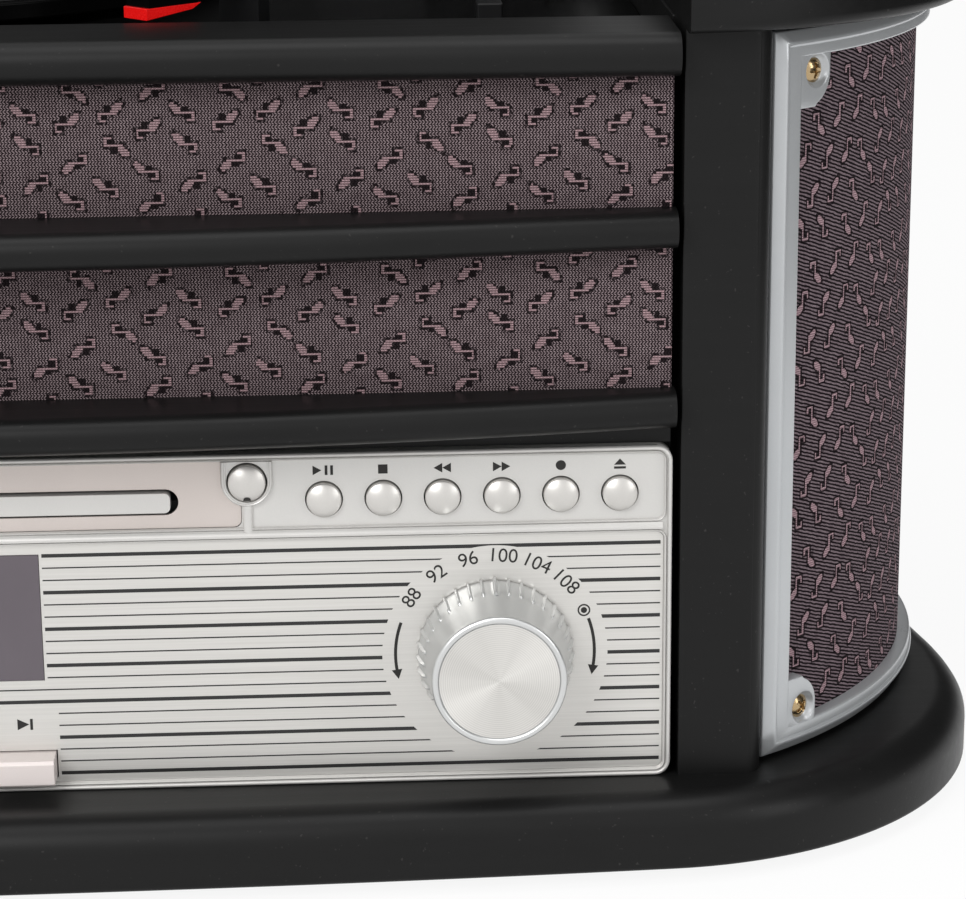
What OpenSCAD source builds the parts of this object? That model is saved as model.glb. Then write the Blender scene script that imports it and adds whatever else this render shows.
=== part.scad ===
// Stereo music centre: a wooden table-top record player, disc player and radio.
// The body stands on four rubber feet; its lid is drawn open, upright at the back.

/* [Cabinet] */
// Reach of the base board beyond the front bay, at each side
side_w = 90; // [78:0.5:104]
// Reach of the base board in front of the control panel, at its middle
base_nose = 24.6; // [18:0.2:32]
// Radius of the gentle bow along the front edge of the boards
front_bow_r = 3600; // [2000:50:6000]
// Radius of the base board's front corners
corner_r = 97.3; // [90:0.1:105]
// Radius of the base board's sides behind those corners
base_side_r = 155; // [148:1:165]
// Angle by which the base board's sides turn inwards towards the back
base_turn = 10; // [8:0.5:10.5]
// Thickness of the base board and of the crown moulding
board_t = 19; // [16:0.5:22]
// Radius of the rounded upper edge of those boards
board_round = 9; // [5:0.5:11]
// Radius of the crown moulding's lower edge
crown_under_round = 3; // [1:0.5:5]
// How far the crown moulding stays inside the base board's outline
crown_inset = 6; // [2:0.5:10]
// Depth of the cabinet behind the control panel's face
body_depth = 345; // [341:1:360]
// Height of the cabinet between the base board and the crown moulding
carcass_h = 194.6; // [190:0.2:210]
// Radius of the cabinet's rounded front corners, over the silver frames
side_r = 127.5; // [122:0.5:134]
// Reach of the base board beyond the silver frames at the widest place
side_overhang = 10.2; // [8:0.2:13]
// Angle by which the side walls turn inwards towards the back
side_turn = 12; // [11:0.5:14]
// Thickness of the curved side walls
side_wall_t = 8; // [5:0.5:10]
// Thickness of the back panel
back_t = 8; // [4:0.5:10]
// Height of the rubber feet
foot_h = 4; // [2:0.5:8]
// Diameter of the rubber feet
foot_d = 24; // [16:1:32]
// Diameter of the opening in front of each loudspeaker
speaker_hole_d = 92; // [70:1:100]

/* [Front woodwork] */
// Half of the clear width between the pilasters
bay_half_w = 193; // [191:0.5:198]
// Width of each pilaster
pilaster_w = 22; // [20:0.5:24]
// How far the pilasters stand in front of the control panel's face
pilaster_proud = 1.5; // [0.5:0.1:4]
// Radius of the pilasters' outer front edge
pilaster_round = 5; // [2:0.5:8]
// Gap between the rails' ends and the pilasters
rail_gap = 1.7; // [0.8:0.1:2.2]
// Thickness of the two bowed rails
rail_t = 9.4; // [7:0.2:11]
// Height of the lower rail's underside above the cabinet's bottom
lower_rail_z = 113.8; // [112:0.2:118]
// Height of the upper rail's underside above the cabinet's bottom
upper_rail_z = 159.8; // [150:0.2:170]
// How far the bowed rails' ends stand in front of the panel's face
rail_end_proud = 8; // [4:0.5:12]
// How much further their middle stands out
rail_bow = 14; // [6:0.5:20]
// Thickness of the straight top rail
top_rail_t = 10.8; // [9:0.2:14]
// How far the straight top rail stands in front of the panel's face
top_rail_proud = 11; // [6:0.5:14]
// Depth of the straight top rail behind the panel's face
top_rail_back = 22; // [18:0.5:24]
// Thickness of the board behind the front cloth
front_board_t = 8; // [5:0.5:12]
// Thickness of the grille cloth
cloth_t = 1.2; // [0.8:0.1:2]

/* [Silver side frames] */
// Thickness of the silver side frames
frame_t = 5.2; // [4.6:0.2:6]
// Width of the silver frames' upright members
frame_w = 8.6; // [8:0.2:11]
// Width of their upper and lower members
frame_bar = 6.9; // [6:0.1:8]
// Dark gap between each pilaster and its silver frame
frame_gap = 0.7; // [0.3:0.1:1.5]
// Length of the silver frames behind the curve, along the side
frame_run = 115; // [114:1:130]
// Radius of the rounded corner lugs that hold the screws
lug_r = 8.5; // [6:0.25:9]
// Distance of the screws from the frames' upper and lower edges
screw_inset = 10.8; // [9:0.2:13]
// Distance of the screws from the frames' front and back edges
screw_in = 14.4; // [13.5:0.1:18]
// Diameter of the frame screws' heads
screw_head_d = 6.4; // [5:0.2:8]

/* [Control panel] */
// Gap between the control panel and the pilasters
panel_gap = 2; // [1:0.1:3]
// Height of the silver control panel
panel_h = 89.3; // [86:0.1:94]
// Thickness of the control panel behind its face
panel_t = 3.5; // [2.5:0.1:5]
// Width of the panel's raised border
border_w = 2; // [1.5:0.1:3]
// Height of the panel's raised border
border_proud = 1.6; // [0.8:0.1:3]
// Height of the striped lower field above the panel's bottom edge
striped_h = 66.4; // [64:0.2:68]
// Width of the raised rib over the striped field
divider_w = 3.4; // [2:0.2:5]
// Thickness of the striped plate
plate_t = 1.2; // [0.8:0.1:1.6]
// Diameter of the round control buttons
button_d = 8.9; // [7:0.1:10]
// Distance from one round button to the next
button_pitch = 15; // [14:0.1:15.8]
// Place of the first round button from the middle
button_x = 102.7; // [100:0.1:104]
// Height of the button row above the panel's bottom edge
button_z = 76.8; // [75:0.1:78]
// Number of round buttons at the right
right_buttons = 6; // [6]
// Number of round buttons at the left
left_buttons = 3; // [3]
// Diameter of the two domed buttons beside the tray
dome_d = 9.5; // [8:0.1:10]
// Place of the domed buttons from the middle
dome_x = 83.4; // [82.5:0.1:85]
// Height of the domed buttons above the panel's bottom edge
dome_z = 81.9; // [80:0.1:82.4]
// Travel of the buttons
button_travel = 1.2; // [0.6:0.1:1.6]
// Gap round each button, key and tray front
button_gap = 0.35; // [0.25:0.05:0.6]
// Width of the display window
display_w = 60.4; // [50:0.2:64]
// Height of the display window
display_h = 33.7; // [28:0.1:36]
// Height of the display window's lower edge above the panel's bottom edge
display_z = 30; // [28:0.2:31]
// Width of the three keys under the display
key_w = 18; // [12:0.5:21]
// Height of the three keys
key_h = 6.9; // [5:0.1:8]
// How far the keys stand in front of the panel's face
key_proud = 7.6; // [4:0.2:10]
// Distance from one key to the next
key_pitch = 23.3; // [22:0.1:26]

/* [Knobs] */
// Place of both large knobs from the middle
knob_x = 145.7; // [140:0.1:150]
// Height of both large knobs above the panel's bottom edge
knob_z = 34.5; // [32:0.1:37]
// Diameter of the knobs' front caps
knob_cap_d = 34; // [28:0.5:38]
// Diameter of the knobs' ribbed skirts
knob_skirt_d = 41; // [36:0.5:46]
// How far the knobs stand in front of the panel's face
knob_proud = 21.9; // [16:0.1:26]
// Number of ribs round each skirt
knob_ribs = 36; // [24:1:48]
// Diameter of the knobs' shafts
shaft_d = 6; // [4:0.1:7]

/* [Disc player] */
// Width of the tray's front bar
tray_w = 128; // [126:0.5:132]
// Height of the tray's front bar
tray_h = 5.2; // [5:0.1:6]
// Depth of the tray
tray_depth = 146; // [138:1:160]
// Diameter of the disc recess in the tray
disc_recess_d = 121; // [120.5:0.1:123]
// Travel of the tray
tray_travel = 135; // [110:1:138]

/* [Turntable] */
// Place of the turntable's spindle to the right of the middle
platter_x = -25; // [-30:1:-20]
// Place of the spindle behind the control panel's face
platter_y = 176; // [174:1:178]
// Diameter of the turntable platter
platter_d = 200; // [180:1:206]
// Diameter of the spindle
spindle_d = 7.1; // [7:0.05:7.2]
// Place of the tonearm's pivot to the right of the middle
arm_x = 155; // [150:1:158]
// Place of the tonearm's pivot behind the control panel's face
arm_y = 205; // [200:1:210]
// Distance from the tonearm's pivot to its stylus
arm_len = 198.9; // [195:0.1:202]
// Angle of the parked tonearm to the left of straight ahead
arm_angle = 29.2; // [27:0.1:31]
// Angle by which the head turns further to the left
head_angle = 18.6; // [10:0.1:24]
// Height of the tonearm's tube above the deck plate
arm_z = 21; // [19:0.5:26]
// Diameter of the tonearm's tube
arm_d = 6.4; // [5:0.2:8]
// Recess of the deck plate under the cabinet's top
deck_recess = 10.6; // [9:0.2:14]
// Thickness of the deck plate
deck_t = 3.5; // [2.5:0.1:5]

/* [Lid] */
// Height of the lid's walls
lid_h = 33; // [28:0.5:44]
// Thickness of the lid's walls
lid_wall = 12; // [9:0.5:15]
// Thickness of the lid's top board
lid_top_t = 9; // [7:0.5:12]
// How far the lid's top board passes its walls at the front and sides
lid_lip = 8; // [4:0.5:10]
// Gap between the lid and what it closes against
lid_gap = 0.5; // [0.3:0.1:1.5]
// Gap between the lid and the crown moulding at each side
lid_side_gap = 1.5; // [0.8:0.1:2.5]
// Distance of both hinges from the middle
hinge_x = 120; // [90:1:150]
// Radius of the hinge barrels
barrel_r = 2.5; // [2:0.1:3.5]

/* [Hidden] */
$fn = 48;
eps = 0.01;
half_w = bay_half_w + side_w;
panel_half_w = bay_half_w - panel_gap;
carcass_top = board_t + carcass_h;
panel_top = board_t + panel_h;

// Boards with the bowed front and round corners
bow_a = asin((half_w - corner_r) / (front_bow_r - corner_r));
bow_y = front_bow_r - base_nose;
corner_x = half_w - corner_r;
corner_y = bow_y - (front_bow_r - corner_r) * cos(bow_a);
base_side_x = half_w - base_side_r;
crown_cut = bay_half_w;

// Curved side walls: their common centre and their radii
side_cx = half_w - side_overhang - side_r;
side_cy = 110;
wall_r = side_r - frame_t;
wall_in_r = wall_r - side_wall_t;
pilaster_x = bay_half_w + pilaster_w;
pilaster_back = 22.5;
frame_z0 = board_t + 1.2;
frame_z1 = carcass_top - 2.4;
frame_x0 = pilaster_x + frame_gap;
frame_a0 = -acos((frame_x0 - side_cx) / side_r);
screw_a = frame_a0 + screw_in / side_r * 180 / PI;
lug_down = 9;
lug_side = 5;
screw_recess = 2.2;
screw_clear = 2.3;
speaker_run = 57;
speaker_z = board_t + carcass_h / 2;
wall_end_x = side_cx + (wall_in_r - (body_depth - side_cy) * sin(side_turn)) / cos(side_turn) - 0.2;

// Inner walls that carry the deck plate
deck_z = carcass_top - deck_recess;
inner_wall_x = bay_half_w - 8;
inner_wall_t = 15;
rabbet_x = bay_half_w - 0.5;
rail_half = bay_half_w - rail_gap;
cloth_half = rail_half - 0.7;
back_rail_d = 16;

// Front board and cloth
cloth_y = 0.3;
board_y = cloth_y + cloth_t;

// Control panel fields
button_row_z = board_t + button_z;
dome_row_z = board_t + dome_z;
field_top = board_t + striped_h;
divider_top = field_top + divider_w;
slot_z = button_row_z;
slot_w = tray_w + 4;
slot_h = tray_h + 1.5;
key_z = board_t + 3.6;
display_z0 = board_t + display_z;
knob_row_z = board_t + knob_z;
dome_ring_r = dome_d / 2 + 1.65;
display_ledge = 1.5;
board_front = 14;
switch_front = board_front - 1.6;
stem_end = switch_front - button_travel - 0.2;
usb_x = button_x + 3.5 * button_pitch;
jack_x = button_x + 5 * button_pitch;
usb_w = 12.8;
usb_h = 5.4;
jack_r = 1.8;

// Turntable
boss_h = 2.8;
platter_z = deck_z + boss_h + 0.1;
platter_t = 4.6;
mat_t = 1.5;
bearing_r = 4;
record_z = platter_z + platter_t + mat_t - 0.4;
belt_r = platter_d / 2 - 46;
pulley_r = 6;
motor_shaft_r = 1;
pulley_dx = 38 - platter_d / 2;
pulley_dy = 44;
arm_axis_z = deck_z + arm_z;
arm_rest_at = arm_len - 36;
head_l = 28;
tube_a = atan2(head_l * sin(head_angle), arm_len - head_l * cos(head_angle));
tube_l = (arm_len - head_l * cos(head_angle)) / cos(tube_a) + 6;
yoke_in = 7;
yoke_t = 3;
lever_x = arm_x + 17.6;
lever_y = arm_y - 17;
lever_z = deck_z + 8;
lever_pin_r = 2;
switch_x = 150;
switch_y = 92;
switch_travel = 6;

// Tonearm: pivot housing, tail weight and the gap round the yoke's disc
arm_base_d = 38;
arm_base_h = 10;
weight_d = 16;
weight_l = 14;
weight_end = 34.5;
yoke_disc_d = 32;

// Sockets at the back: two plates, with their reach on X and on Z, and the vents over them
signal_plate = [-150, -60];
mains_plate = [70, 120];
plate_z = [40, 76];
socket_z = 58;
phono_x = [-132, -112];
aerial_x = -85;
inlet_x = 95;
vent_z = [140, 176];
vent_w = 4;
vent_pitch = 12;
vent_reach = 120;

// Lid, drawn closed and turned open about the hinge pins
lid_z0 = carcass_top + lid_gap;
lid_x = crown_cut - lid_side_gap;
lid_y0 = corner_y - corner_r + crown_inset + board_round + 3;
lid_open = 90;
hinge_y = body_depth + barrel_r + 0.3;
hinge_z = lid_z0 - 0.2;
leaf_t = 1.4;
pin_r = 1.2;

// The row's origin lies under the middle of the whole outline with the lid open
back_reach = hinge_y + (lid_z0 + lid_h + lid_top_t - hinge_z);
face_y = (base_nose - back_reach) / 2;

wood_black = [0.09, 0.09, 0.09];
silver = [0.78, 0.78, 0.77];
cloth_colour = [0.36, 0.31, 0.33];
plastic_black = [0.07, 0.07, 0.07];

// Places a piece that is drawn from the panel's face and the cabinet's underside
module in_cabinet() {
    translate([0, face_y, foot_h]) children();
}

module both_sides() {
    children();
    mirror([1, 0, 0]) children();
}

// Turns a closed lid piece to its open place
module lid_opened() {
    translate([0, hinge_y, hinge_z]) rotate([-lid_open, 0, 0])
        translate([0, -hinge_y, -hinge_z]) children();
}

// Gives an outline drawn in X and Z a depth from y0 to y1
module upright(y0, y1) {
    translate([0, y1, 0]) rotate([90, 0, 0]) linear_extrude(y1 - y0) children();
}

module box_between(low, high) {
    translate(low) cube(high - low);
}

module rounded_rect(x0, x1, z0, z1, r) {
    translate([x0 + r, z0]) square([x1 - x0 - 2 * r, z1 - z0]);
    translate([x0, z0 + r]) square([x1 - x0, z1 - z0 - 2 * r]);
    for (x = [x0 + r, x1 - r], z = [z0 + r, z1 - r]) translate([x, z]) circle(r);
}

function arc(cx, cy, r, a0, a1, n) =
    [for (i = [0:n]) let (a = a0 + (a1 - a0) * i / n) [cx + r * cos(a), cy + r * sin(a)]];

function at_height(outline, z) = [for (p = outline) [p[0], p[1], z]];

// Closed skin over rings of points that all have the same count
module loft(rings) {
    n = len(rings[0]);
    m = len(rings);
    sides = [for (k = [0:m - 2], i = [0:n - 1]) each [
        [k * n + i, (k + 1) * n + i, (k + 1) * n + (i + 1) % n],
        [k * n + i, (k + 1) * n + (i + 1) % n, k * n + (i + 1) % n]]];
    bottom = [for (i = [0:n - 1]) i];
    top = [for (i = [0:n - 1]) m * n - 1 - i];
    polyhedron([for (ring = rings) each ring], concat(sides, [bottom], [top]), convexity = 6);
}

// Insets and heights of a board's edge, rounded below and above
function edge_profile(t, under, over) = concat(
    [for (i = [0:3]) let (a = 90 * i / 3) [under * (1 - sin(a)), under * (1 - cos(a))]],
    [for (i = [0:6]) let (a = 90 * i / 6) [over * (1 - cos(a)), t - over * (1 - sin(a))]]);

function without_first(points) = [for (i = [1:len(points) - 1]) points[i]];

// The other side's points, in reverse order and without the one next to the middle
function other_side(points) = [for (i = [len(points) - 1:-1:1]) [-points[i][0], points[i][1]]];

// Right end of the boards' outline, from the angle a0 on the corner to the back
function side_plan(inset, a0) = concat(
    arc(corner_x, corner_y, corner_r - inset, a0, 0, 14),
    without_first(arc(base_side_x, corner_y, base_side_r - inset, 0, base_turn, 3)),
    [[base_side_x + (base_side_r - inset - (body_depth - corner_y) * sin(base_turn)) / cos(base_turn),
      body_depth]]);

// Outline of the base board, drawn in by an inset everywhere but at the back
function board_plan(inset) = concat(
    arc(0, bow_y, front_bow_r - inset, -90 - bow_a, -90 + bow_a, 8),
    without_first(side_plan(inset, bow_a - 90)),
    other_side(side_plan(inset, bow_a - 90)));

function crown_plan(inset) = concat(
    side_plan(inset, -acos((crown_cut - corner_x) / (corner_r - inset))),
    [[crown_cut, body_depth]]);

// Depth of the boards' front edge at x: the bow, or the corner's arc beyond it
function front_edge(x, inset) = let (r = corner_r - inset, past = abs(x) - corner_x)
    past < r * sin(bow_a) ? bow_y - sqrt(pow(front_bow_r - inset, 2) - x * x)
                          : corner_y - sqrt(r * r - past * past);

function lid_front_plan(inset) = concat(
    [for (i = [-8:8]) let (x = lid_x * i / 8) [x, front_edge(x, inset)]],
    [[lid_x, lid_y0], [-lid_x, lid_y0]]);

module base_board() color(wood_black) in_cabinet()
    loft([for (p = edge_profile(board_t, 1.5, board_round)) at_height(board_plan(p[0]), p[1])]);

module crown_mouldings() color(wood_black) in_cabinet() both_sides()
    loft([for (p = edge_profile(board_t, crown_under_round, board_round))
        at_height(crown_plan(crown_inset + p[0]), carcass_top + p[1])]);

module rubber_feet() color(plastic_black) translate([0, face_y, 0])
    for (x = [-1, 1] * (half_w - 68), y = [30, body_depth - 35])
        translate([x, y, 0]) {
            cylinder(h = foot_h, d = foot_d);
        }

module inner_walls() color("burlywood") in_cabinet() both_sides() difference() {
    box_between([inner_wall_x, pilaster_back, board_t],
                [inner_wall_x + inner_wall_t, body_depth - back_t, carcass_top]);
    box_between([inner_wall_x - 1, 0, deck_z - deck_t], [rabbet_x, body_depth, carcass_top + 1]);
}

// Band from radius r0 to r1 that starts at x0, follows the curved corner, and then runs straight
module side_band(r0, r1, x0, run) {
    intersection() {
        translate([side_cx, side_cy]) difference() {
            circle(r1, $fn = 120);
            circle(r0, $fn = 120);
        }
        union() {
            translate([x0, side_cy - side_r]) square([side_r, side_r]);
            translate([side_cx, side_cy - eps])
                polygon([[0, 0], [2 * side_r, 0], 2 * side_r * [cos(side_turn), sin(side_turn)]]);
        }
    }
    on_run(0) translate([r0, -eps]) square([r1 - r0, run + eps]);
}

// Frame with +X out of the straight part of the side and +Y along it, at y on the run
module on_run(y) {
    translate([side_cx, side_cy]) rotate([0, 0, side_turn]) translate([0, y]) children();
}

// Plan of the curved wall, thicker behind the silver frame
module side_wall_plan() intersection() {
    union() {
        side_band(wall_in_r, wall_r, pilaster_x, body_depth);
        on_run(frame_run + 0.5) translate([wall_in_r, 0]) square([side_r - wall_in_r, body_depth]);
    }
    square([2 * side_r + side_cx, body_depth]);
}

module side_walls() color(wood_black) in_cabinet() both_sides() difference() {
    translate([0, 0, board_t]) linear_extrude(carcass_h) side_wall_plan();
    translate([0, 0, speaker_z]) on_run(speaker_run) translate([wall_in_r - 5, 0, 0])
        rotate([0, 90, 0]) cylinder(h = side_wall_t + 10, d = speaker_hole_d);
}

// Round driver: flange, basket and magnet, with the cone dished in
module driver() {
    rotate_extrude() polygon([[0, 8], [12, 8], [speaker_hole_d / 2 - 8, 1], [speaker_hole_d / 2 - 4, 0],
        [speaker_hole_d / 2 + 6, 0], [speaker_hole_d / 2 + 6, 3], [speaker_hole_d / 2 - 2, 3],
        [22, 20], [26, 20], [26, 30], [0, 30]]);
}

module speakers() color(plastic_black) in_cabinet() both_sides()
    translate([0, 0, speaker_z]) on_run(speaker_run) translate([wall_in_r, 0, 0])
        rotate([0, -90, 0]) driver();

module back_panel() color(wood_black) in_cabinet() upright(body_depth - back_t, body_depth)
    difference() {
        union() {
            translate([-wall_end_x, board_t]) square([2 * wall_end_x, deck_z - deck_t - board_t]);
            for (x = [rabbet_x, -wall_end_x])
                translate([x, board_t]) square([wall_end_x - rabbet_x, carcass_h]);
        }
        for (x = [-vent_reach:vent_pitch:vent_reach])
            rounded_rect(x - vent_w / 2, x + vent_w / 2, vent_z[0], vent_z[1], vent_w / 2 - 0.1);
        socket_plate(signal_plate);
        socket_plate(mains_plate);
    }

module socket_plate(span) rounded_rect(span[0], span[1], plate_z[0], plate_z[1], 3);

// Outline of the mains inlet, wider by an extra on each side
module inlet(extra) rounded_rect(inlet_x - 8 - extra, inlet_x + 8 + extra,
                                 socket_z - 4 - extra, socket_z + 4 + extra, 3.5);

module back_rail() color(wood_black) in_cabinet()
    box_between([-rabbet_x, body_depth - back_rail_d, deck_z - deck_t],
                [rabbet_x, body_depth, carcass_top]);

// Plan of a pilaster with a rounded outer front edge
module pilaster_plan() {
    r = pilaster_round;
    translate([bay_half_w, -pilaster_proud]) square([pilaster_w - r, pilaster_back + pilaster_proud]);
    translate([bay_half_w, r - pilaster_proud]) square([pilaster_w, pilaster_back + pilaster_proud - r]);
    translate([pilaster_x - r, r - pilaster_proud]) circle(r);
}

module pilasters() color(wood_black) in_cabinet() both_sides()
    translate([0, 0, board_t]) linear_extrude(carcass_h) pilaster_plan();

module top_rail() color(wood_black) in_cabinet() {
    r = top_rail_t / 2;
    translate([-rail_half, 0, carcass_top - top_rail_t]) rotate([90, 0, 90])
        linear_extrude(2 * rail_half) {
            translate([r - top_rail_proud, 0]) square([top_rail_back + top_rail_proud - r, top_rail_t]);
            translate([r - top_rail_proud, r]) circle(r);
        }
}

// Rail with a half-round nose, bowed forward in plan and straight at the back
module bowed_rail(z) {
    r = rail_t / 2;
    bow_r = (rail_half * rail_half + rail_bow * rail_bow) / (2 * rail_bow);
    intersection() {
        translate([0, bow_r - rail_end_proud - rail_bow, z]) rotate_extrude($fn = 360) {
            square([bow_r - r, rail_t]);
            intersection() {
                translate([bow_r - r, r]) circle(r);
                translate([bow_r - r, 0]) square([r, rail_t]);
            }
        }
        box_between([-rail_half, -base_nose - rail_bow, z - 1], [rail_half, board_y, z + rail_t + 1]);
    }
}

module upper_rail() color(wood_black) in_cabinet() bowed_rail(upper_rail_z);
module lower_rail() color(wood_black) in_cabinet() bowed_rail(lower_rail_z);

// Board behind the front cloth, with two battens that meet the inner walls
module front_board() color(wood_black) in_cabinet() {
    box_between([-cloth_half, board_y, panel_top + 0.3],
                [cloth_half, board_y + front_board_t, carcass_top - top_rail_t]);
    both_sides() box_between([inner_wall_x - 8, board_y + front_board_t - eps, panel_top + 8],
                             [cloth_half, pilaster_back, deck_z - deck_t - 4]);
}

module front_cloth() color(cloth_colour) in_cabinet()
    for (band = [[lower_rail_z + rail_t, upper_rail_z],
                 [upper_rail_z + rail_t, carcass_top - top_rail_t]])
        box_between([-cloth_half, cloth_y, band[0]], [cloth_half, board_y, band[1]]);

// The front edge's place on X for something drawn in by w along the curve
function front_x(w) = side_cx + side_r * cos(frame_a0 + w / side_r * 180 / PI);

// Side band of a given height whose edges are drawn in by w at the front and back, by bar above
// and below
module side_sheet(r0, r1, w, bar) translate([0, 0, frame_z0 + bar])
    linear_extrude(frame_z1 - frame_z0 - 2 * bar)
        side_band(r0, r1, w > 0 ? front_x(w) : frame_x0, frame_run - w);

module side_cloth() side_sheet(wall_r, wall_r + cloth_t, frame_w, frame_bar);

module flip(on, axis) {
    if (on) mirror(axis) children();
    else children();
}

// Places children on the frame's face, at the four screws: +Z points outwards, +X to the upper or
// lower member, and +Y to the upright one
module at_screws(depth) {
    for (top = [false, true], back = [false, true])
        translate([side_cx, side_cy, top ? frame_z1 - screw_inset : frame_z0 + screw_inset])
            rotate([0, 0, back ? side_turn : screw_a])
                translate([side_r - depth, back ? frame_run - screw_in : 0, 0])
                    rotate([0, 90, 0]) flip(top, [1, 0, 0]) flip(!back, [0, 1, 0]) children();
}

// Lug that fills a corner of the frame, with one round corner beyond the screw
module lug() translate([lug_r - lug_down, lug_r - lug_side, 0]) {
    cylinder(h = frame_t + 4, r = lug_r);
    translate([-lug_r, 0, 0]) cube([lug_r + screw_in, screw_in, frame_t + 4]);
    translate([0, -lug_r, 0]) cube([screw_in, lug_r + screw_in, frame_t + 4]);
}

module side_frame() difference() {
    union() {
        difference() {
            side_sheet(wall_r, side_r, 0, 0);
            side_sheet(wall_r - 5, side_r + 5, frame_w, frame_bar);
        }
        intersection() {
            side_sheet(wall_r + cloth_t, side_r, 0, 0);
            at_screws(frame_t + 2) lug();
        }
    }
    at_screws(screw_recess) cylinder(h = 5, d = screw_head_d + screw_clear);
}

module left_side_cloth() color(cloth_colour) in_cabinet() mirror([1, 0, 0]) side_cloth();
module right_side_cloth() color(cloth_colour) in_cabinet() side_cloth();
module left_side_frame() color(silver) in_cabinet() mirror([1, 0, 0]) side_frame();
module right_side_frame() color(silver) in_cabinet() side_frame();

module frame_screws() color("goldenrod") in_cabinet() both_sides() at_screws(screw_recess) difference() {
    intersection() {
        cylinder(h = 1.3, d = screw_head_d);
        translate([0, 0, 1.3 - screw_head_d]) sphere(r = screw_head_d, $fn = 48);
    }
    for (a = [0, 90]) rotate([0, 0, a]) translate([-1.8, -0.4, 0.6]) cube([3.6, 0.8, 2]);
}

module deck_plate() color(plastic_black) in_cabinet() {
    difference() {
        union() {
            box_between([0.3 - rabbet_x, top_rail_back + 0.2, deck_z - deck_t],
                        [rabbet_x - 0.3, body_depth - back_rail_d - 0.2, deck_z]);
            translate([platter_x, platter_y, deck_z - eps]) cylinder(h = boss_h, d = 20);
        }
        translate([platter_x + pulley_dx, platter_y + pulley_dy, deck_z - deck_t - 1])
            cylinder(h = deck_t + 2, d = 9);
        translate([switch_x - switch_travel - 3, switch_y - 2, deck_z - deck_t - 1])
            cube([2 * switch_travel + 6, 4, deck_t + 2]);
    }
    translate([platter_x, platter_y, deck_z + boss_h - 1])
        cylinder(h = record_z - deck_z - boss_h + 1, r = bearing_r);
    translate([platter_x, platter_y, record_z - 1]) cylinder(h = 12, d = spindle_d);
    translate([platter_x, platter_y, record_z + 10]) cylinder(h = 4, d1 = spindle_d, d2 = 3);
}

module lid_frame() color(wood_black) in_cabinet() lid_opened() difference() {
    box_between([-lid_x, lid_y0, lid_z0], [lid_x, body_depth, lid_z0 + lid_h]);
    box_between([lid_wall - lid_x, lid_y0 + lid_wall, lid_z0 - 1],
                [lid_x - lid_wall, body_depth - lid_wall, lid_z0 + lid_h + 1]);
}

module lid_moulding() color(wood_black) in_cabinet() lid_opened()
    loft([for (p = edge_profile(board_t - lid_gap, crown_under_round, board_round))
        at_height(lid_front_plan(crown_inset + p[0]), lid_z0 + p[1])]);

function lid_top_plan(inset) = let (
    x = lid_x + lid_lip - inset,
    y = lid_y0 - lid_lip + inset,
    r = 14 - inset) concat(
    arc(r - x, y + r, r, 180, 270, 6),
    arc(x - r, y + r, r, 270, 360, 6),
    [[x, body_depth], [-x, body_depth]]);

module lid_top() color(wood_black) in_cabinet() lid_opened()
    loft([for (p = edge_profile(lid_top_t, 2, lid_top_t - 4))
        at_height(lid_top_plan(p[0]), lid_z0 + lid_h + p[1])]);

hinge_len = 36;
knuckle = hinge_len / 3;

module along_x(x0, x1, r) {
    translate([x0, 0, 0]) rotate([0, 90, 0]) cylinder(h = x1 - x0, r = r);
}

module hinge_bases() color("silver") in_cabinet() for (s = [-1, 1])
    translate([s * hinge_x - hinge_len / 2, hinge_y, hinge_z]) {
        for (x = [0, 2 * knuckle]) {
            along_x(x, x + knuckle - 0.3 * (x > 0 ? 0 : 1), barrel_r);
        }
        along_x(-0.5, hinge_len + 0.5, pin_r);
        for (x = [0, 2 * knuckle])
            box_between([x, body_depth - hinge_y, -barrel_r - 4],
                        [x + knuckle - 0.3, leaf_t + body_depth - hinge_y, 0]);
        box_between([0, body_depth - hinge_y, -22],
                    [hinge_len, leaf_t + body_depth - hinge_y, -barrel_r - 1]);
    }

module hinge_wings() color("silver") in_cabinet() lid_opened() for (s = [-1, 1])
    translate([s * hinge_x - hinge_len / 2, hinge_y, hinge_z]) difference() {
        union() {
            along_x(knuckle, 2 * knuckle - 0.3, barrel_r);
            box_between([knuckle, body_depth - hinge_y, 0],
                        [2 * knuckle - 0.3, leaf_t + body_depth - hinge_y, barrel_r + 4]);
            box_between([0, body_depth - hinge_y, barrel_r + 1],
                        [hinge_len, leaf_t + body_depth - hinge_y, 22]);
        }
        along_x(0, hinge_len, pin_r + 0.05);
    }

module panel_outline(inset = 0) {
    rounded_rect(inset - panel_half_w, panel_half_w - inset, board_t + inset, panel_top - inset,
                 4 - inset / 2);
}

module at_right_buttons() {
    for (i = [0:right_buttons - 1]) translate([button_x + i * button_pitch, button_row_z]) children();
}

module at_left_buttons() {
    for (i = [0:left_buttons - 1]) translate([-button_x - i * button_pitch, button_row_z]) children();
}

module at_keys() {
    for (i = [-1, 0, 1]) translate([i * key_pitch, key_z]) children();
}

// Openings that go through the panel and the plate on it
module control_holes() {
    at_right_buttons() circle(button_d / 2 + button_gap);
    at_left_buttons() circle(button_d / 2 + button_gap);
    for (x = [-dome_x, dome_x]) translate([x, dome_row_z]) circle(dome_d / 2 + button_gap);
    for (x = [-knob_x, knob_x]) translate([x, knob_row_z]) circle(shaft_d / 2 + 1.5);
    translate([-usb_x - usb_w / 2, button_row_z - usb_h / 2]) square([usb_w, usb_h]);
    translate([-jack_x, button_row_z]) circle(jack_r);
    at_keys() translate([-key_w / 2 - button_gap, -button_gap])
        square([key_w + 2 * button_gap, key_h + 2 * button_gap]);
}

// Outline of one of the panel's two fields
module field(z0, z1, gap = 0) {
    rounded_rect(border_w - panel_half_w + gap, panel_half_w - border_w - gap, z0 + gap, z1 - gap, 2);
}

module striped_outline(gap) field(board_t + border_w, field_top, gap);

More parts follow.
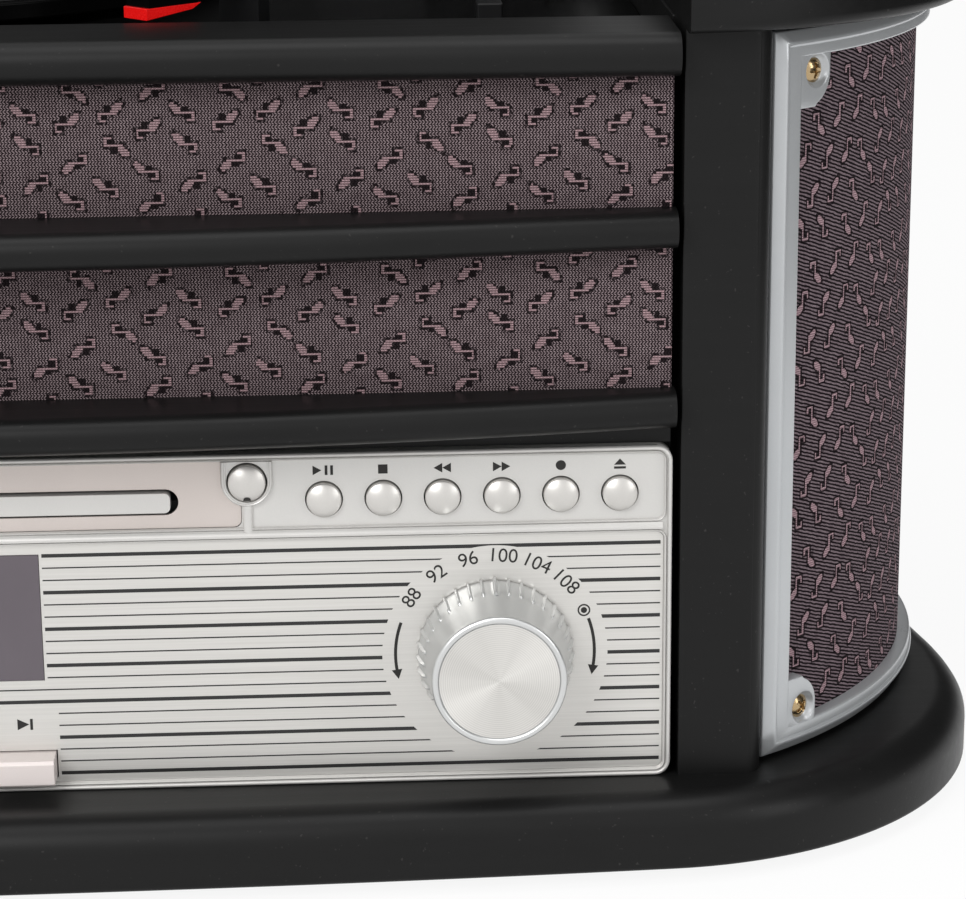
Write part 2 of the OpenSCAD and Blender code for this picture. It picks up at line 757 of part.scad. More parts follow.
module tray_outline(gap) difference() {
    rounded_rect(gap - dome_x + 1.5, dome_x - 1.5 - gap, divider_top + gap,
                 panel_top - border_w - gap, 2);
    for (x = [-dome_x, dome_x]) {
        translate([x, dome_row_z]) circle(dome_ring_r + gap);
        translate([x - dome_ring_r - gap, dome_row_z]) square([2 * (dome_ring_r + gap), 30]);
    }
}

module control_panel() color(silver) in_cabinet() {
    upright(-border_proud, 0) difference() {
        panel_outline();
        striped_outline(0);
        field(divider_top, panel_top - border_w);
    }
    upright(-1.2, 0) for (x = [-dome_x, dome_x]) translate([x, 0]) {
        difference() {
            union() {
                translate([0, dome_row_z]) circle(dome_ring_r);
                translate([-dome_ring_r, dome_row_z])
                    square([2 * dome_ring_r, panel_top - border_w - dome_row_z + eps]);
            }
            translate([0, dome_row_z]) circle(dome_d / 2 + button_gap);
        }
        translate([-1.4, divider_top - eps]) square([2.8, dome_row_z - dome_ring_r - divider_top + 0.5]);
    }
    upright(0, plate_t) difference() {
        panel_outline();
        striped_outline(0);
        tray_outline(0);
        control_holes();
    }
    upright(plate_t - eps, panel_t) difference() {
        panel_outline();
        control_holes();
        display_outline(display_ledge);
        rounded_rect(-slot_w / 2 - 3, slot_w / 2 + 3,
                     slot_z - slot_h / 2 - 1, slot_z + slot_h / 2 + 1, 2);
    }
}

module striped_plate() color([0.83, 0.83, 0.8]) in_cabinet() upright(0, plate_t - eps)
    difference() {
        striped_outline(0.1);
        control_holes();
        display_outline(-0.1);
    }

module tray_plate() color([0.74, 0.72, 0.7]) in_cabinet() upright(0.2, plate_t - eps)
    difference() {
        tray_outline(0.1);
        rounded_rect(-slot_w / 2, slot_w / 2, slot_z - slot_h / 2, slot_z + slot_h / 2, slot_h / 2 - eps);
    }

module display_outline(inset = 0) translate([inset - display_w / 2, display_z0 + inset])
    square([display_w - 2 * inset, display_h - 2 * inset]);

// The window rests on the panel's ledge
module display_window() color([0.25, 0.22, 0.28]) in_cabinet() upright(-0.3, plate_t - eps)
    display_outline();

module cd_tray() color(silver) in_cabinet() difference() {
    union() {
        upright(-0.8, 3)
            rounded_rect(-tray_w / 2, tray_w / 2, slot_z - tray_h / 2, slot_z + tray_h / 2, 1.5);
        box_between([1 - tray_w / 2, 2, slot_z - 2.2], [tray_w / 2 - 1, tray_depth, slot_z + 2]);
    }
    translate([0, 8 + disc_recess_d / 2, slot_z - 0.2]) cylinder(h = 5, d = disc_recess_d, $fn = 96);
    translate([0, 8 + disc_recess_d / 2, slot_z - 5]) cylinder(h = 10, d = 38);
    box_between([-19, 8 + disc_recess_d / 2, slot_z - 5], [19, tray_depth + 1, slot_z + 5]);
}

// Drive under the tray: chassis on four legs, side guides, runners, clamp bridge and turntable
module cd_mechanism() color("dimgray") in_cabinet() {
    side = tray_w / 2 + 2;
    front = 9;
    chassis_z = slot_z - 16;
    difference() {
        box_between([-side - 5, front, chassis_z], [side + 5, tray_depth + 30, slot_z - 4.5]);
        box_between([-16, 30, slot_z - 13], [16, tray_depth, slot_z]);
    }
    for (s = [-1, 1]) {
        translate([s * (side + 2.5) - 2.5, front, slot_z - 4.6]) cube([5, tray_depth + 21, 14]);
        translate([s * (side - 3) - 3, front, slot_z - 4.6]) cube([6, tray_depth + 10, 2.35]);
        for (y = [24, tray_depth + 14]) translate([s * (side - 2) - 5, y, board_t])
            cube([10, 10, chassis_z - board_t + eps]);
    }
    translate([-side - 5, 54, slot_z + 9]) cube([2 * side + 10, 26, 3]);
    translate([0, 67, slot_z + 3]) cylinder(h = 8, d = 30);
    translate([0, 8 + disc_recess_d / 2, slot_z - 14]) cylinder(h = 10, d = 26);
}

// Push button: domed head, retaining flange behind the panel, stem to its switch
module push_button(d, proud) {
    rotate([-90, 0, 0]) {
        rotate_extrude() intersection() {
            union() {
                translate([0, 2 - proud]) square([d / 2, panel_t + proud - 1]);
                translate([0, d * 0.9 - proud]) circle(d * 0.9);
            }
            translate([0, -proud]) square([d / 2, proud + panel_t + 1]);
        }
        translate([0, 0, panel_t + 0.4]) cylinder(h = 1, d = d + 3);
        cylinder(h = stem_end, d = 3);
    }
}

module round_button(x) in_cabinet() translate([x, 0, button_row_z]) push_button(button_d, 2.6);

module play_button() color(silver) round_button(button_x);
module stop_button() color(silver) round_button(button_x + button_pitch);
module search_back_button() color(silver) round_button(button_x + 2 * button_pitch);
module search_forward_button() color(silver) round_button(button_x + 3 * button_pitch);
module record_button() color(silver) round_button(button_x + 4 * button_pitch);
module tray_button() color(silver) round_button(button_x + 5 * button_pitch);
module source_button() color(silver) round_button(-button_x);
module program_button() color(silver) round_button(-button_x - button_pitch);
module tone_button() color(silver) round_button(-button_x - 2 * button_pitch);

module dome_button(x) in_cabinet() difference() {
    translate([x, 0, dome_row_z]) push_button(dome_d, 3.4);
    translate([x, 0, dome_row_z - dome_d / 2]) rotate([90, 0, 0]) cylinder(h = 8, d = 1.8, center = true);
}

module right_dome_button() color(silver) dome_button(dome_x);
module left_dome_button() color(silver) dome_button(-dome_x);

// Key with a flat front and a sloping upper edge, on a plunger with a flange
module key(x) in_cabinet() translate([x, 0, key_z]) {
    rotate([90, 0, 90]) translate([0, 0, -key_w / 2]) linear_extrude(key_w)
        polygon([[panel_t, 0], [panel_t, key_h], [0.8 - key_proud, key_h], [-key_proud, key_h - 0.8],
                 [-key_proud, 0.6], [0.6 - key_proud, 0]]);
    box_between([-key_w / 2 - 1.2, panel_t + 0.4, -1], [key_w / 2 + 1.2, panel_t + 1.4, key_h + 1]);
    box_between([-2, panel_t - 1, key_h / 2 - 1.5], [2, stem_end, key_h / 2 + 1.5]);
}

module left_key() color(silver) key(-key_pitch);
module middle_key() color(silver) key(0);
module right_key() color(silver) key(key_pitch);

// Ring of the ribbed skirt: the radius swells at each rib
function ribbed_ring(r, rise, y) = [for (i = [0:knob_ribs * 4 - 1])
    let (a = i * 90 / knob_ribs, bump = i % 4 == 0 ? rise : i % 4 == 2 ? -rise : 0)
    [(r + bump) * cos(a), (r + bump) * sin(a), y]];

module knob(x) in_cabinet() translate([x, 0, knob_row_z]) rotate([90, 0, 0]) {
    skirt_r = knob_skirt_d / 2;
    cap_r = knob_cap_d / 2;
    loft([ribbed_ring(skirt_r - 0.6, 0.5, 1), ribbed_ring(skirt_r - 0.5, 0.5, 5),
          ribbed_ring(skirt_r - 1.6, 0.2, 6.6)]);
    rotate_extrude($fn = 96) polygon([[0, 1.6], [skirt_r - 2, 1.6], [skirt_r - 2.2, 6.8],
        [cap_r + 1.4, 10], [cap_r + 0.4, knob_proud - 3], [cap_r, knob_proud - 0.8],
        [cap_r - 0.8, knob_proud], [cap_r - 2.2, knob_proud], [cap_r - 2.6, knob_proud - 0.5],
        [0, knob_proud - 0.5]]);
    translate([0, 0, -12]) cylinder(h = 16, d = shaft_d);
}

module tuning_knob() color(silver) knob(knob_x);
module volume_knob() color(silver) knob(-knob_x);

module control_board() color("darkgreen") in_cabinet() {
    upright(board_front, board_front + 1.6) {
        translate([-inner_wall_x + 2, board_t + 4])
            square([2 * inner_wall_x - 4, slot_z - 18 - board_t - 4]);
        for (x = [-inner_wall_x + 2, tray_w / 2 + 10])
            translate([x, board_t + 4]) square([inner_wall_x - tray_w / 2 - 12, panel_h - 8]);
    }
    upright(switch_front, board_front + eps) {
        at_right_buttons() translate([-3, -3]) square(6);
        at_left_buttons() translate([-3, -3]) square(6);
        for (x = [-dome_x, dome_x]) translate([x - 3, dome_row_z - 3]) square(6);
        at_keys() translate([-3, key_h / 2 - 3]) square(6);
    }
    for (x = [-knob_x, knob_x]) translate([x, board_front + eps, knob_row_z]) rotate([90, 0, 0])
        difference() {
            cylinder(h = board_front - panel_t + eps, d = 18);
            translate([0, 0, 1]) cylinder(h = 20, d = shaft_d + 0.1);
        }
    upright(plate_t + 0.3, 8.5) display_outline(display_ledge + 0.3);
    upright(8.4, board_front + eps) translate([-25, display_z0 + 5]) square([50, 23]);
    upright(panel_t, board_front + eps) {
        translate([-usb_x, button_row_z]) difference() {
            square([usb_w + 3, usb_h + 3], center = true);
            square([usb_w, usb_h], center = true);
        }
        translate([-jack_x, button_row_z]) difference() {
            circle(4.5);
            circle(jack_r);
        }
    }
}

module platter() color("silver") in_cabinet() translate([platter_x, platter_y, platter_z])
    rotate_extrude($fn = 120) polygon([[bearing_r + 0.05, 0], [12, 0], [12, 1.4], [belt_r - 3, 1.4],
        [belt_r - 3, -1.9], [belt_r, -1.9], [belt_r, 1.4], [platter_d / 2 - 3, 1.4],
        [platter_d / 2 - 3, -0.6], [platter_d / 2 - 0.6, -0.6], [platter_d / 2, 0],
        [platter_d / 2, platter_t - 0.5], [platter_d / 2 - 0.5, platter_t],
        [bearing_r + 0.05, platter_t]]);

module platter_mat() color(plastic_black) in_cabinet()
    translate([platter_x, platter_y, platter_z + platter_t]) rotate_extrude($fn = 120)
        polygon([[bearing_r + 0.6, 0], [platter_d / 2 - 3, 0], [platter_d / 2 - 3, mat_t],
            [platter_d / 2 - 7, mat_t], [platter_d / 2 - 7.5, mat_t - 0.5], [48, mat_t - 0.5],
            [47.5, mat_t], [44, mat_t], [43.5, mat_t - 0.5], [bearing_r + 0.6, mat_t - 0.5]]);

module belt_outline(extra) hull() {
    circle(belt_r + extra, $fn = 64);
    translate([pulley_dx, pulley_dy]) circle(pulley_r + extra, $fn = 32);
}

module drive_belt() color(plastic_black) in_cabinet()
    translate([platter_x, platter_y, deck_z + 1.1]) linear_extrude(2.4) difference() {
        belt_outline(1);
        belt_outline(0.35);
    }

module drive_motor() color("silver") in_cabinet()
    translate([platter_x + pulley_dx, platter_y + pulley_dy, deck_z - deck_t]) difference() {
        union() {
            translate([0, 0, -24]) cylinder(h = 24, d = 26);
            cylinder(h = deck_t + 0.4, r = 3);
        }
        translate([0, 0, -6]) cylinder(h = deck_t + 10, r = motor_shaft_r + 0.05);
    }

module motor_pulley() color("gold") in_cabinet()
    translate([platter_x + pulley_dx, platter_y + pulley_dy, deck_z + 0.6]) {
        cylinder(h = 3, r = pulley_r);
        translate([0, 0, -deck_t - 6]) cylinder(h = deck_t + 6 + eps, r = motor_shaft_r);
    }

// Frame with its origin at the tonearm's pivot and +X towards the parked stylus
module along_arm() {
    translate([arm_x, arm_y, 0]) rotate([0, 0, -90 - arm_angle]) children();
}

// Frame with its origin at the stylus and +X out of the head's nose
module along_head() {
    along_arm() translate([arm_len, 0, arm_axis_z]) rotate([0, 0, -head_angle]) children();
}

// Frame with its origin on the arm's cross pin and +X along the tube, which ends in the head
module along_tube() {
    along_arm() translate([0, 0, arm_axis_z]) rotate([0, 0, tube_a]) children();
}

// Pivot housing with the lift lever's lug, and the rest post with its hook
module tonearm_base() color(plastic_black) in_cabinet() {
    difference() {
        union() {
            translate([arm_x, arm_y, deck_z]) cylinder(h = arm_base_h, d = arm_base_d);
            box_between([arm_x + 5, lever_y - 5, deck_z], [lever_x - 1, lever_y + 5, deck_z + 12]);
        }
        translate([arm_x, arm_y, deck_z + arm_base_h - eps]) cylinder(h = 3, d = yoke_disc_d + 1);
        translate([arm_x, arm_y, deck_z + 1]) cylinder(h = 12, d = 10.1);
        translate([arm_x, lever_y, lever_z]) along_x(8.7, 30, lever_pin_r + 0.05);
    }
    along_tube() translate([arm_rest_at, 0, -arm_z]) {
        translate([-3, -4, 0]) cube([6, 11.5, arm_z - arm_d / 2 - 0.4]);
        translate([-3, arm_d / 2 + 1, 0]) cube([6, 3.3, arm_z + 2]);
    }
}

module tonearm_yoke() color(plastic_black) in_cabinet() {
    translate([arm_x, arm_y, deck_z + 1.4]) cylinder(h = 12, d = 10);
    translate([arm_x, arm_y, deck_z + arm_base_h + 0.4]) cylinder(h = 4, d = yoke_disc_d);
    along_tube() for (s = [-1, 1]) difference() {
        translate([-5, s > 0 ? yoke_in : -yoke_in - yoke_t, 14 - arm_z]) cube([10, yoke_t, arm_z - 10]);
        rotate([90, 0, 0]) cylinder(h = 40, r = 1.55, center = true);
    }
}

// Tube with its pivot block, tail weight and angled head
module tonearm() color(plastic_black) in_cabinet() {
    along_tube() {
        rotate([0, 90, 0]) translate([0, 0, 0.5 - weight_end])
            cylinder(h = tube_l + weight_end - 0.5, d = arm_d);
        rotate([0, 90, 0]) translate([0, 0, -weight_end]) cylinder(h = weight_l, d = weight_d);
        translate([-7, -5.5, -4.2]) cube([14, 11, 8.4]);
        rotate([90, 0, 0]) cylinder(h = 2 * (yoke_in + yoke_t) - 0.6, r = 1.5, center = true);
    }
    along_head() {
        translate([-head_l, -6, -3.4]) linear_extrude(6.2) polygon([[0, 2.6], [6, 0], [head_l - 1, 0.5],
            [head_l + 2, 3], [head_l + 2, 9], [head_l - 1, 11.5], [6, 12], [0, 9.4]]);
        translate([-17, -4.5, -7.8]) cube([16, 9, 4.6]);
        translate([-2, 5, -1]) cube([3, 12, 1.6]);
    }
}

// Clip-on needle carrier: a wide wedge with the needle under it
module stylus_carrier() color("red") in_cabinet() along_head() {
    rotate([90, 0, 0]) translate([0, 0, -4.55]) linear_extrude(9.1)
        polygon([[-18, -7.8], [0, -7.8], [0, -10.8], [-15, -9.3]]);
    translate([-4, 0, -11.5]) cylinder(h = 2, d = 0.8);
}

module lift_lever() color(plastic_black) in_cabinet() translate([0, lever_y, lever_z]) {
    along_x(arm_x + 9.2, lever_x + 3, lever_pin_r);
    translate([lever_x, -24, -2.5]) cube([3.4, 27, 5]);
}

module speed_switch() color(plastic_black) in_cabinet() translate([switch_x, switch_y, deck_z]) {
    translate([-3.5, -4.5, 0.3]) cube([7, 9, 5]);
    translate([-2, -1.6, -deck_t - 1]) cube([4, 3.2, deck_t + 2]);
    translate([-4, -4, -deck_t - 2.4]) cube([8, 8, 2]);
}

// Signal plate with two phono sockets and an aerial socket, and the mains inlet with its pins
module rear_sockets() color("dimgray") in_cabinet() {
    inside = body_depth - back_t;
    difference() {
        union() {
            upright(inside, body_depth - 2) socket_plate(signal_plate);
            for (x = phono_x) translate([x, inside, socket_z]) rotate([-90, 0, 0])
                cylinder(h = back_t + 4, d = 8.2);
        }
        for (x = phono_x) translate([x, inside + 2, socket_z]) rotate([-90, 0, 0])
            cylinder(h = 20, d = 3.2);
        translate([aerial_x, inside - 1, socket_z]) rotate([-90, 0, 0])
            cylinder(h = back_t + 2, r = 1.8);
    }
    upright(inside, body_depth - 2) difference() {
        socket_plate(mains_plate);
        inlet(0);
    }
    upright(inside - 14, inside + eps) difference() {
        inlet(3);
        inlet(0);
    }
    upright(inside - 16, inside - 14 + eps) inlet(3);
    for (x = [-4.3, 4.3]) translate([inlet_x + x, inside - 15, socket_z]) rotate([-90, 0, 0])
        cylinder(h = 12, r = 1.2);
}

base_board();
rubber_feet();
inner_walls();
side_walls();
back_panel();
back_rail();
pilasters();
top_rail();
upper_rail();
lower_rail();
front_board();
front_cloth();
left_side_cloth();
right_side_cloth();
left_side_frame();
right_side_frame();
frame_screws();
crown_mouldings();
deck_plate();
lid_frame();
lid_moulding();
lid_top();
hinge_bases();
hinge_wings();
control_panel();
striped_plate();
tray_plate();
display_window();
cd_tray();
cd_mechanism();
play_button();
stop_button();
search_back_button();
search_forward_button();
record_button();
tray_button();
source_button();
program_button();
tone_button();
right_dome_button();
left_dome_button();
left_key();
middle_key();
right_key();
tuning_knob();
volume_knob();
control_board();
speakers();
platter();
platter_mat();
drive_belt();
drive_motor();
motor_pulley();
tonearm_base();
tonearm_yoke();
tonearm();
stylus_carrier();
lift_lever();
speed_switch();
rear_sockets();
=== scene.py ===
from functools import partialmethod
import math
import bmesh
import bpy
import numpy as np
from mathutils import Matrix, Vector


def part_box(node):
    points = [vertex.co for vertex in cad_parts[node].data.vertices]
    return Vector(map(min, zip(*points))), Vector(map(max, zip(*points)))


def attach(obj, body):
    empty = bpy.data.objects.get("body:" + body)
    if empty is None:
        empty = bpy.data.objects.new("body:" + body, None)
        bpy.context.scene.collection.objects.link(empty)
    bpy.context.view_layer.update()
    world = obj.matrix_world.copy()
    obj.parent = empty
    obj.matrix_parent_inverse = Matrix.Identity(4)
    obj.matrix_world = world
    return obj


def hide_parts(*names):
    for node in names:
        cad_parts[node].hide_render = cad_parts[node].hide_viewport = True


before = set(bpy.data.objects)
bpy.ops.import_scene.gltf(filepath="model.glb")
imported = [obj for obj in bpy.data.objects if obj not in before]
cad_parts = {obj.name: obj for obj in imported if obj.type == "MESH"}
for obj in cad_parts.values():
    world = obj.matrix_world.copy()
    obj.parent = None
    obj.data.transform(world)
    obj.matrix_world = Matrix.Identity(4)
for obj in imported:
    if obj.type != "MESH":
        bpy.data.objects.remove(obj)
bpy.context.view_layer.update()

# Sizes below are in millimetres in the cabinet's own frame: X from the middle, Y behind the
# control panel's face, Z above the base board's underside, as in the part's source.
MM = 0.001
FACE_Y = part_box("striped_plate")[0].y / MM
FOOT_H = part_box("base_board")[0].z / MM
ORIGIN = np.array([0.0, FACE_Y, FOOT_H])
BOARD_T = 19.0
CARCASS_TOP = 213.6
PANEL_TOP = 108.3
RAIL_END = 191.3
CLOTH_END = 190.6
BODY_DEPTH = 345.0
HINGE = (347.8, 213.9)
KNOB_X, KNOB_Z = 145.7, 53.5
BUTTON_X, BUTTON_STEP, BUTTON_Z = 102.7, 15.0, 95.8
DOME_X, DOME_Z = 83.4, 100.9
FACE_UV_R = 15.0  # UV units to a radian round a dial's face


def metres(points):
    """Cabinet millimetres to the frame's metres: (point + origin) / 1000."""
    return (np.asarray(points, float) + ORIGIN) * MM


def xyz(x, y, z):
    """Points from three coordinates, each an array or one number for all."""
    return np.stack(np.broadcast_arrays(x, y, z), -1)


def around(x, z, r, a, y):
    """Points at radius r and angle a round (x, z), at depth y."""
    return xyz(x + r * np.cos(a), y, z + r * np.sin(a))


def whole_turn(steps):
    """The angles of a full circle, the last one short of the first."""
    return np.linspace(0, 2 * math.pi, steps, endpoint=False)


# Surfaces: each is (points, faces), worked out as whole arrays

def ring_quads(rows, count, closed):
    """Quads of a grid of points, rows by count: corner (k, i) to (k+1, i+1), wrapped if closed."""
    k, i = np.meshgrid(np.arange(rows - 1), np.arange(count if closed else count - 1), indexing="ij")
    j = (i + 1) % count
    quads = np.stack([k * count + i, k * count + j, (k + 1) * count + j, (k + 1) * count + i], -1)
    return quads.reshape(-1, 4).tolist()


def skin(rings, closed=True, caps=True):
    """Skin over rings of points, shape (rings, points, 3), with a flat face at each end."""
    rings = np.asarray(rings, float)
    rows, count = rings.shape[:2]
    faces = ring_quads(rows, count, closed)
    if closed and caps:
        faces.append(list(range(count))[::-1])
        faces.append(list(range((rows - 1) * count, rows * count)))
    return rings.reshape(-1, 3), faces


def turned(profile, x, z, steps):
    """Surface of revolution about (x, z): each row of the profile is a radius and a depth."""
    r, y = np.asarray(profile, float).T[:, :, None]
    return skin(around(x, z, r, whole_turn(steps), y))


def joined(surfaces):
    """Several surfaces as one."""
    points, faces, start = [], [], 0
    for p, f in surfaces:
        points.append(p)
        faces.extend([[i + start for i in face] for face in f])
        start += len(p)
    return np.concatenate(points), faces


def mirrored(surface):
    """The surface on the other side."""
    points, faces = surface
    return points * [-1, 1, 1], [face[::-1] for face in faces]


def slab(outline, y0=-0.05, y1=0.02):
    """A flat plate with the outline (x, z), from depth y0 to y1; as thin as a print, if not given."""
    x, z = np.asarray(outline, float).T
    return skin([xyz(x, y, z) for y in (y0, y1)])


def arc(cx, cy, r, a0, a1, steps):
    """Points of a circle's arc, angles in degrees."""
    a = np.radians(np.linspace(a0, a1, steps + 1))
    return np.stack([cx + r * np.cos(a), cy + r * np.sin(a)], -1)


def rounded_rect(x0, x1, z0, z1, r, steps=8):
    """Outline of a rectangle with round corners."""
    return np.concatenate([arc(x1 - r, z0 + r, r, -90, 0, steps), arc(x1 - r, z1 - r, r, 0, 90, steps),
                           arc(x0 + r, z1 - r, r, 90, 180, steps), arc(x0 + r, z0 + r, r, 180, 270, steps)])


def add_object(name, data):
    """A new object in the scene."""
    obj = bpy.data.objects.new(name, data)
    bpy.context.scene.collection.objects.link(obj)
    return obj


def smooth_object(name, mesh, sharp):
    """A new object, smooth but for edges over the sharp angle."""
    mesh.shade_smooth()
    mesh.set_sharp_from_angle(angle=math.radians(sharp))
    return add_object(name, mesh)


def new_mesh(name, points, faces):
    mesh = bpy.data.meshes.new(name)
    mesh.from_pydata(np.asarray(points).tolist(), [], faces)
    return mesh


def coords(mesh):
    """A mesh's points, one row each."""
    co = np.zeros(len(mesh.vertices) * 3, np.float32)
    mesh.vertices.foreach_get("co", co)
    return co.reshape(-1, 3)


def build(name, surface, sharp=35, weld=True, uv=None):
    """Makes the object, with doubles merged and faces outwards."""
    points, faces = surface
    mesh = new_mesh(name, metres(points), faces)
    if uv is not None:
        layer = mesh.uv_layers.new(name="Threads")
        corners = np.zeros(len(mesh.loops), np.int32)
        mesh.loops.foreach_get("vertex_index", corners)
        layer.data.foreach_set("uv", np.asarray(uv, np.float32)[corners].ravel())
    if weld:
        bm = bmesh.new()
        bm.from_mesh(mesh)
        bmesh.ops.remove_doubles(bm, verts=bm.verts, dist=1e-7)
        bmesh.ops.recalc_face_normals(bm, faces=bm.faces)
        bm.to_mesh(mesh)
        bm.free()
    return smooth_object(name, mesh, sharp)


def place(obj, material, body="cabinet", replaces=(), slot=None):
    """Gives a piece its material, body and replaced nodes; its slot argument is not used."""
    obj.data.materials.clear()
    obj.data.materials.append(material)
    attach(obj, body)
    if replaces:
        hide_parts(*replaces)
    return obj


def eased_copy(node, ease, segments=3, sharp=32, uprights=False):
    """A copy of a CAD node, with its flats made whole and its edges (or uprights) rounded."""
    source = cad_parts[node].data
    mesh = new_mesh(node + "_eased", coords(source), [list(p.vertices) for p in source.polygons])
    bm = bmesh.new()
    bm.from_mesh(mesh)
    bmesh.ops.remove_doubles(bm, verts=bm.verts, dist=2e-6)
    bmesh.ops.dissolve_limit(bm, angle_limit=math.radians(0.6), verts=bm.verts, edges=bm.edges)
    if uprights:
        weight = bm.edges.layers.float.new("bevel_weight_edge")
        for edge in bm.edges:
            along = edge.verts[1].co - edge.verts[0].co
            edge[weight] = 1.0 if abs(along.z) > 0.99 * along.length else 0.0
    bm.to_mesh(mesh)
    bm.free()
    obj = smooth_object(node + "_eased", mesh, sharp)
    if ease:
        bevel = obj.modifiers.new("Eased edges", "BEVEL")
        bevel.width = ease * MM
        bevel.segments = segments
        bevel.limit_method = "WEIGHT" if uprights else "ANGLE"
        bevel.angle_limit = math.radians(sharp)
        bevel.harden_normals = True
        bevel.miter_outer = "MITER_ARC"
    return obj


# Shader helpers

def srgb(r, g, b):
    """A screen colour, 0 to 255, as the linear colour that a shader takes."""
    c = np.array([r, g, b]) / 255
    lin = np.where(c <= 0.04045, c / 12.92, ((c + 0.055) / 1.055) ** 2.4)
    return (*lin.tolist(), 1.0)


class Tree:
    """Short calls that add nodes to one material or group; a value is a number, a tuple or a socket."""

    def __init__(self, tree, material=None):
        self.tree = tree
        self.material = material

    def add(self, kind, inputs=None, **settings):
        node = self.tree.nodes.new(kind)
        for key, value in settings.items():
            setattr(node, key, value)
        for key, value in (inputs or {}).items():
            self.feed(node.inputs[key], value)
        return node

    def feed(self, socket, value):
        if isinstance(value, bpy.types.NodeSocket):
            self.tree.links.new(value, socket)
        else:
            socket.default_value = value

    def math(self, operation, a, b=0.0, c=0.0):
        return self.add("ShaderNodeMath", {0: a, 1: b, 2: c}, operation=operation).outputs[0]

    plus = partialmethod(math, "ADD")
    minus = partialmethod(math, "SUBTRACT")
    times = partialmethod(math, "MULTIPLY")  # of two masks, where both are 1
    over = partialmethod(math, "DIVIDE")
    least = partialmethod(math, "MINIMUM")
    most = partialmethod(math, "MAXIMUM")  # of two masks, where either is 1
    below = partialmethod(math, "LESS_THAN")
    above = partialmethod(math, "GREATER_THAN")
    size = partialmethod(math, "ABSOLUTE")
    floor = partialmethod(math, "FLOOR")
    fract = partialmethod(math, "FRACT")
    modulo = partialmethod(math, "FLOORED_MODULO")
    sine = partialmethod(math, "SINE")
    cosine = partialmethod(math, "COSINE")
    root = partialmethod(math, "SQRT")

    def spread(self, value, low, high, out_low=0.0, out_high=1.0):
        return self.add("ShaderNodeMapRange", {0: value, 1: low, 2: high, 3: out_low, 4: out_high}).outputs[0]

    def mix(self, factor, a, b):
        return self.add("ShaderNodeMix", {0: factor, 6: a, 7: b}, data_type="RGBA").outputs[2]

    def noise(self, vector, scale, detail=2.0):
        return self.add("ShaderNodeTexNoise", {"Vector": vector, "Scale": scale, "Detail": detail}).outputs[0]

    def vector(self, x, y, z):
        return self.add("ShaderNodeCombineXYZ", {0: x, 1: y, 2: z}).outputs[0]

    def parts(self, vector):
        return self.add("ShaderNodeSeparateXYZ", {0: vector}).outputs

    def bump(self, height, distance, strength):
        inputs = {"Height": height, "Distance": distance, "Strength": strength}
        return self.add("ShaderNodeBump", inputs).outputs[0]

    def here(self):
        return self.add("ShaderNodeTexCoord").outputs["Object"]

    def threads(self):
        """The two coordinates of the piece's own UV map."""
        return self.parts(self.add("ShaderNodeUVMap", uv_map="Threads").outputs[0])[:2]

    def group(self, tree, inputs):
        return self.add("ShaderNodeGroup", inputs, node_tree=tree).outputs

    def surface(self, colour, roughness=None, normal=None, metallic=None):
        """Feeds what varies over the surface to the material's shader, and returns the material."""
        shader = self.tree.nodes["Principled BSDF"].inputs
        given = {"Base Color": colour, "Roughness": roughness, "Normal": normal, "Metallic": metallic}
        for key, value in given.items():
            if value is not None:
                self.feed(shader[key], value)
        return self.material


def new_group(name, inputs, outputs):
    """An empty shader group, its Tree, and the sockets inside it. Sockets are given as one text; the
    one called Vector is a vector and the others are numbers."""
    tree = bpy.data.node_groups.new(name, "ShaderNodeTree")
    for way, keys in ("INPUT", inputs), ("OUTPUT", outputs):
        for key in keys.split():
            kind = "NodeSocketVector" if key == "Vector" else "NodeSocketFloat"
            tree.interface.new_socket(key, in_out=way, socket_type=kind)
    t = Tree(tree)
    return tree, t, t.add("NodeGroupInput").outputs, t.add("NodeGroupOutput").inputs


def new_material(name, **sockets):
    """The Tree of a new material, whose shader's own sockets hold what stays the same all over."""
    material = bpy.data.materials.new(name)
    material.use_nodes = True
    shader = material.node_tree.nodes["Principled BSDF"]
    for key, value in sockets.items():
        shader.inputs[key.replace("_", " ").title().replace("Ior", "IOR")].default_value = value
    return Tree(material.node_tree, material)


# Groups that more than one material uses

def make_paint_group():
    """Paint over wood: fine orange peel, a faint grain along X, and scattered dust specks."""
    tree, t, given, out = new_group("Paint over wood", "Vector Grain", "Tone Dust Height")
    v = given["Vector"]
    peel = t.noise(v, 1400.0)
    stretched = t.add("ShaderNodeMapping", {"Vector": v, "Scale": (14.0, 420.0, 420.0)}).outputs[0]
    grain = t.noise(stretched, 1.0, 4.0)
    cloud = t.noise(v, 22.0, 3.0)
    t.feed(out["Tone"], t.math("MULTIPLY_ADD", cloud, 0.6, t.times(grain, 0.4)))
    t.feed(out["Dust"], t.spread(t.noise(v, 900.0, 1.0), 0.735, 0.77))
    t.feed(out["Height"], t.plus(t.times(peel, 0.5), t.times(grain, given["Grain"])))
    return tree


def make_lacquer_group():
    """Metallic lacquer on plastic: tiny flakes and soft mottling."""
    tree, t, given, out = new_group("Lacquer flakes", "Vector", "Tone Height")
    flakes = t.noise(given["Vector"], 3200.0, 1.0)
    cloud = t.noise(given["Vector"], 35.0)
    t.feed(out["Tone"], t.plus(t.times(flakes, 0.35), t.times(cloud, 0.65)))
    t.feed(out["Height"], flakes)
    return tree


def make_brush_group():
    """Brushed metal: fine streaks along X."""
    tree, t, given, out = new_group("Brushed streaks", "Vector Along", "Streak")
    x, y, z = t.parts(given["Vector"])
    v = t.vector(t.times(x, given["Along"]), y, t.times(z, 2600.0))
    t.feed(out["Streak"], t.noise(v, 1.0, 3.0))
    return tree


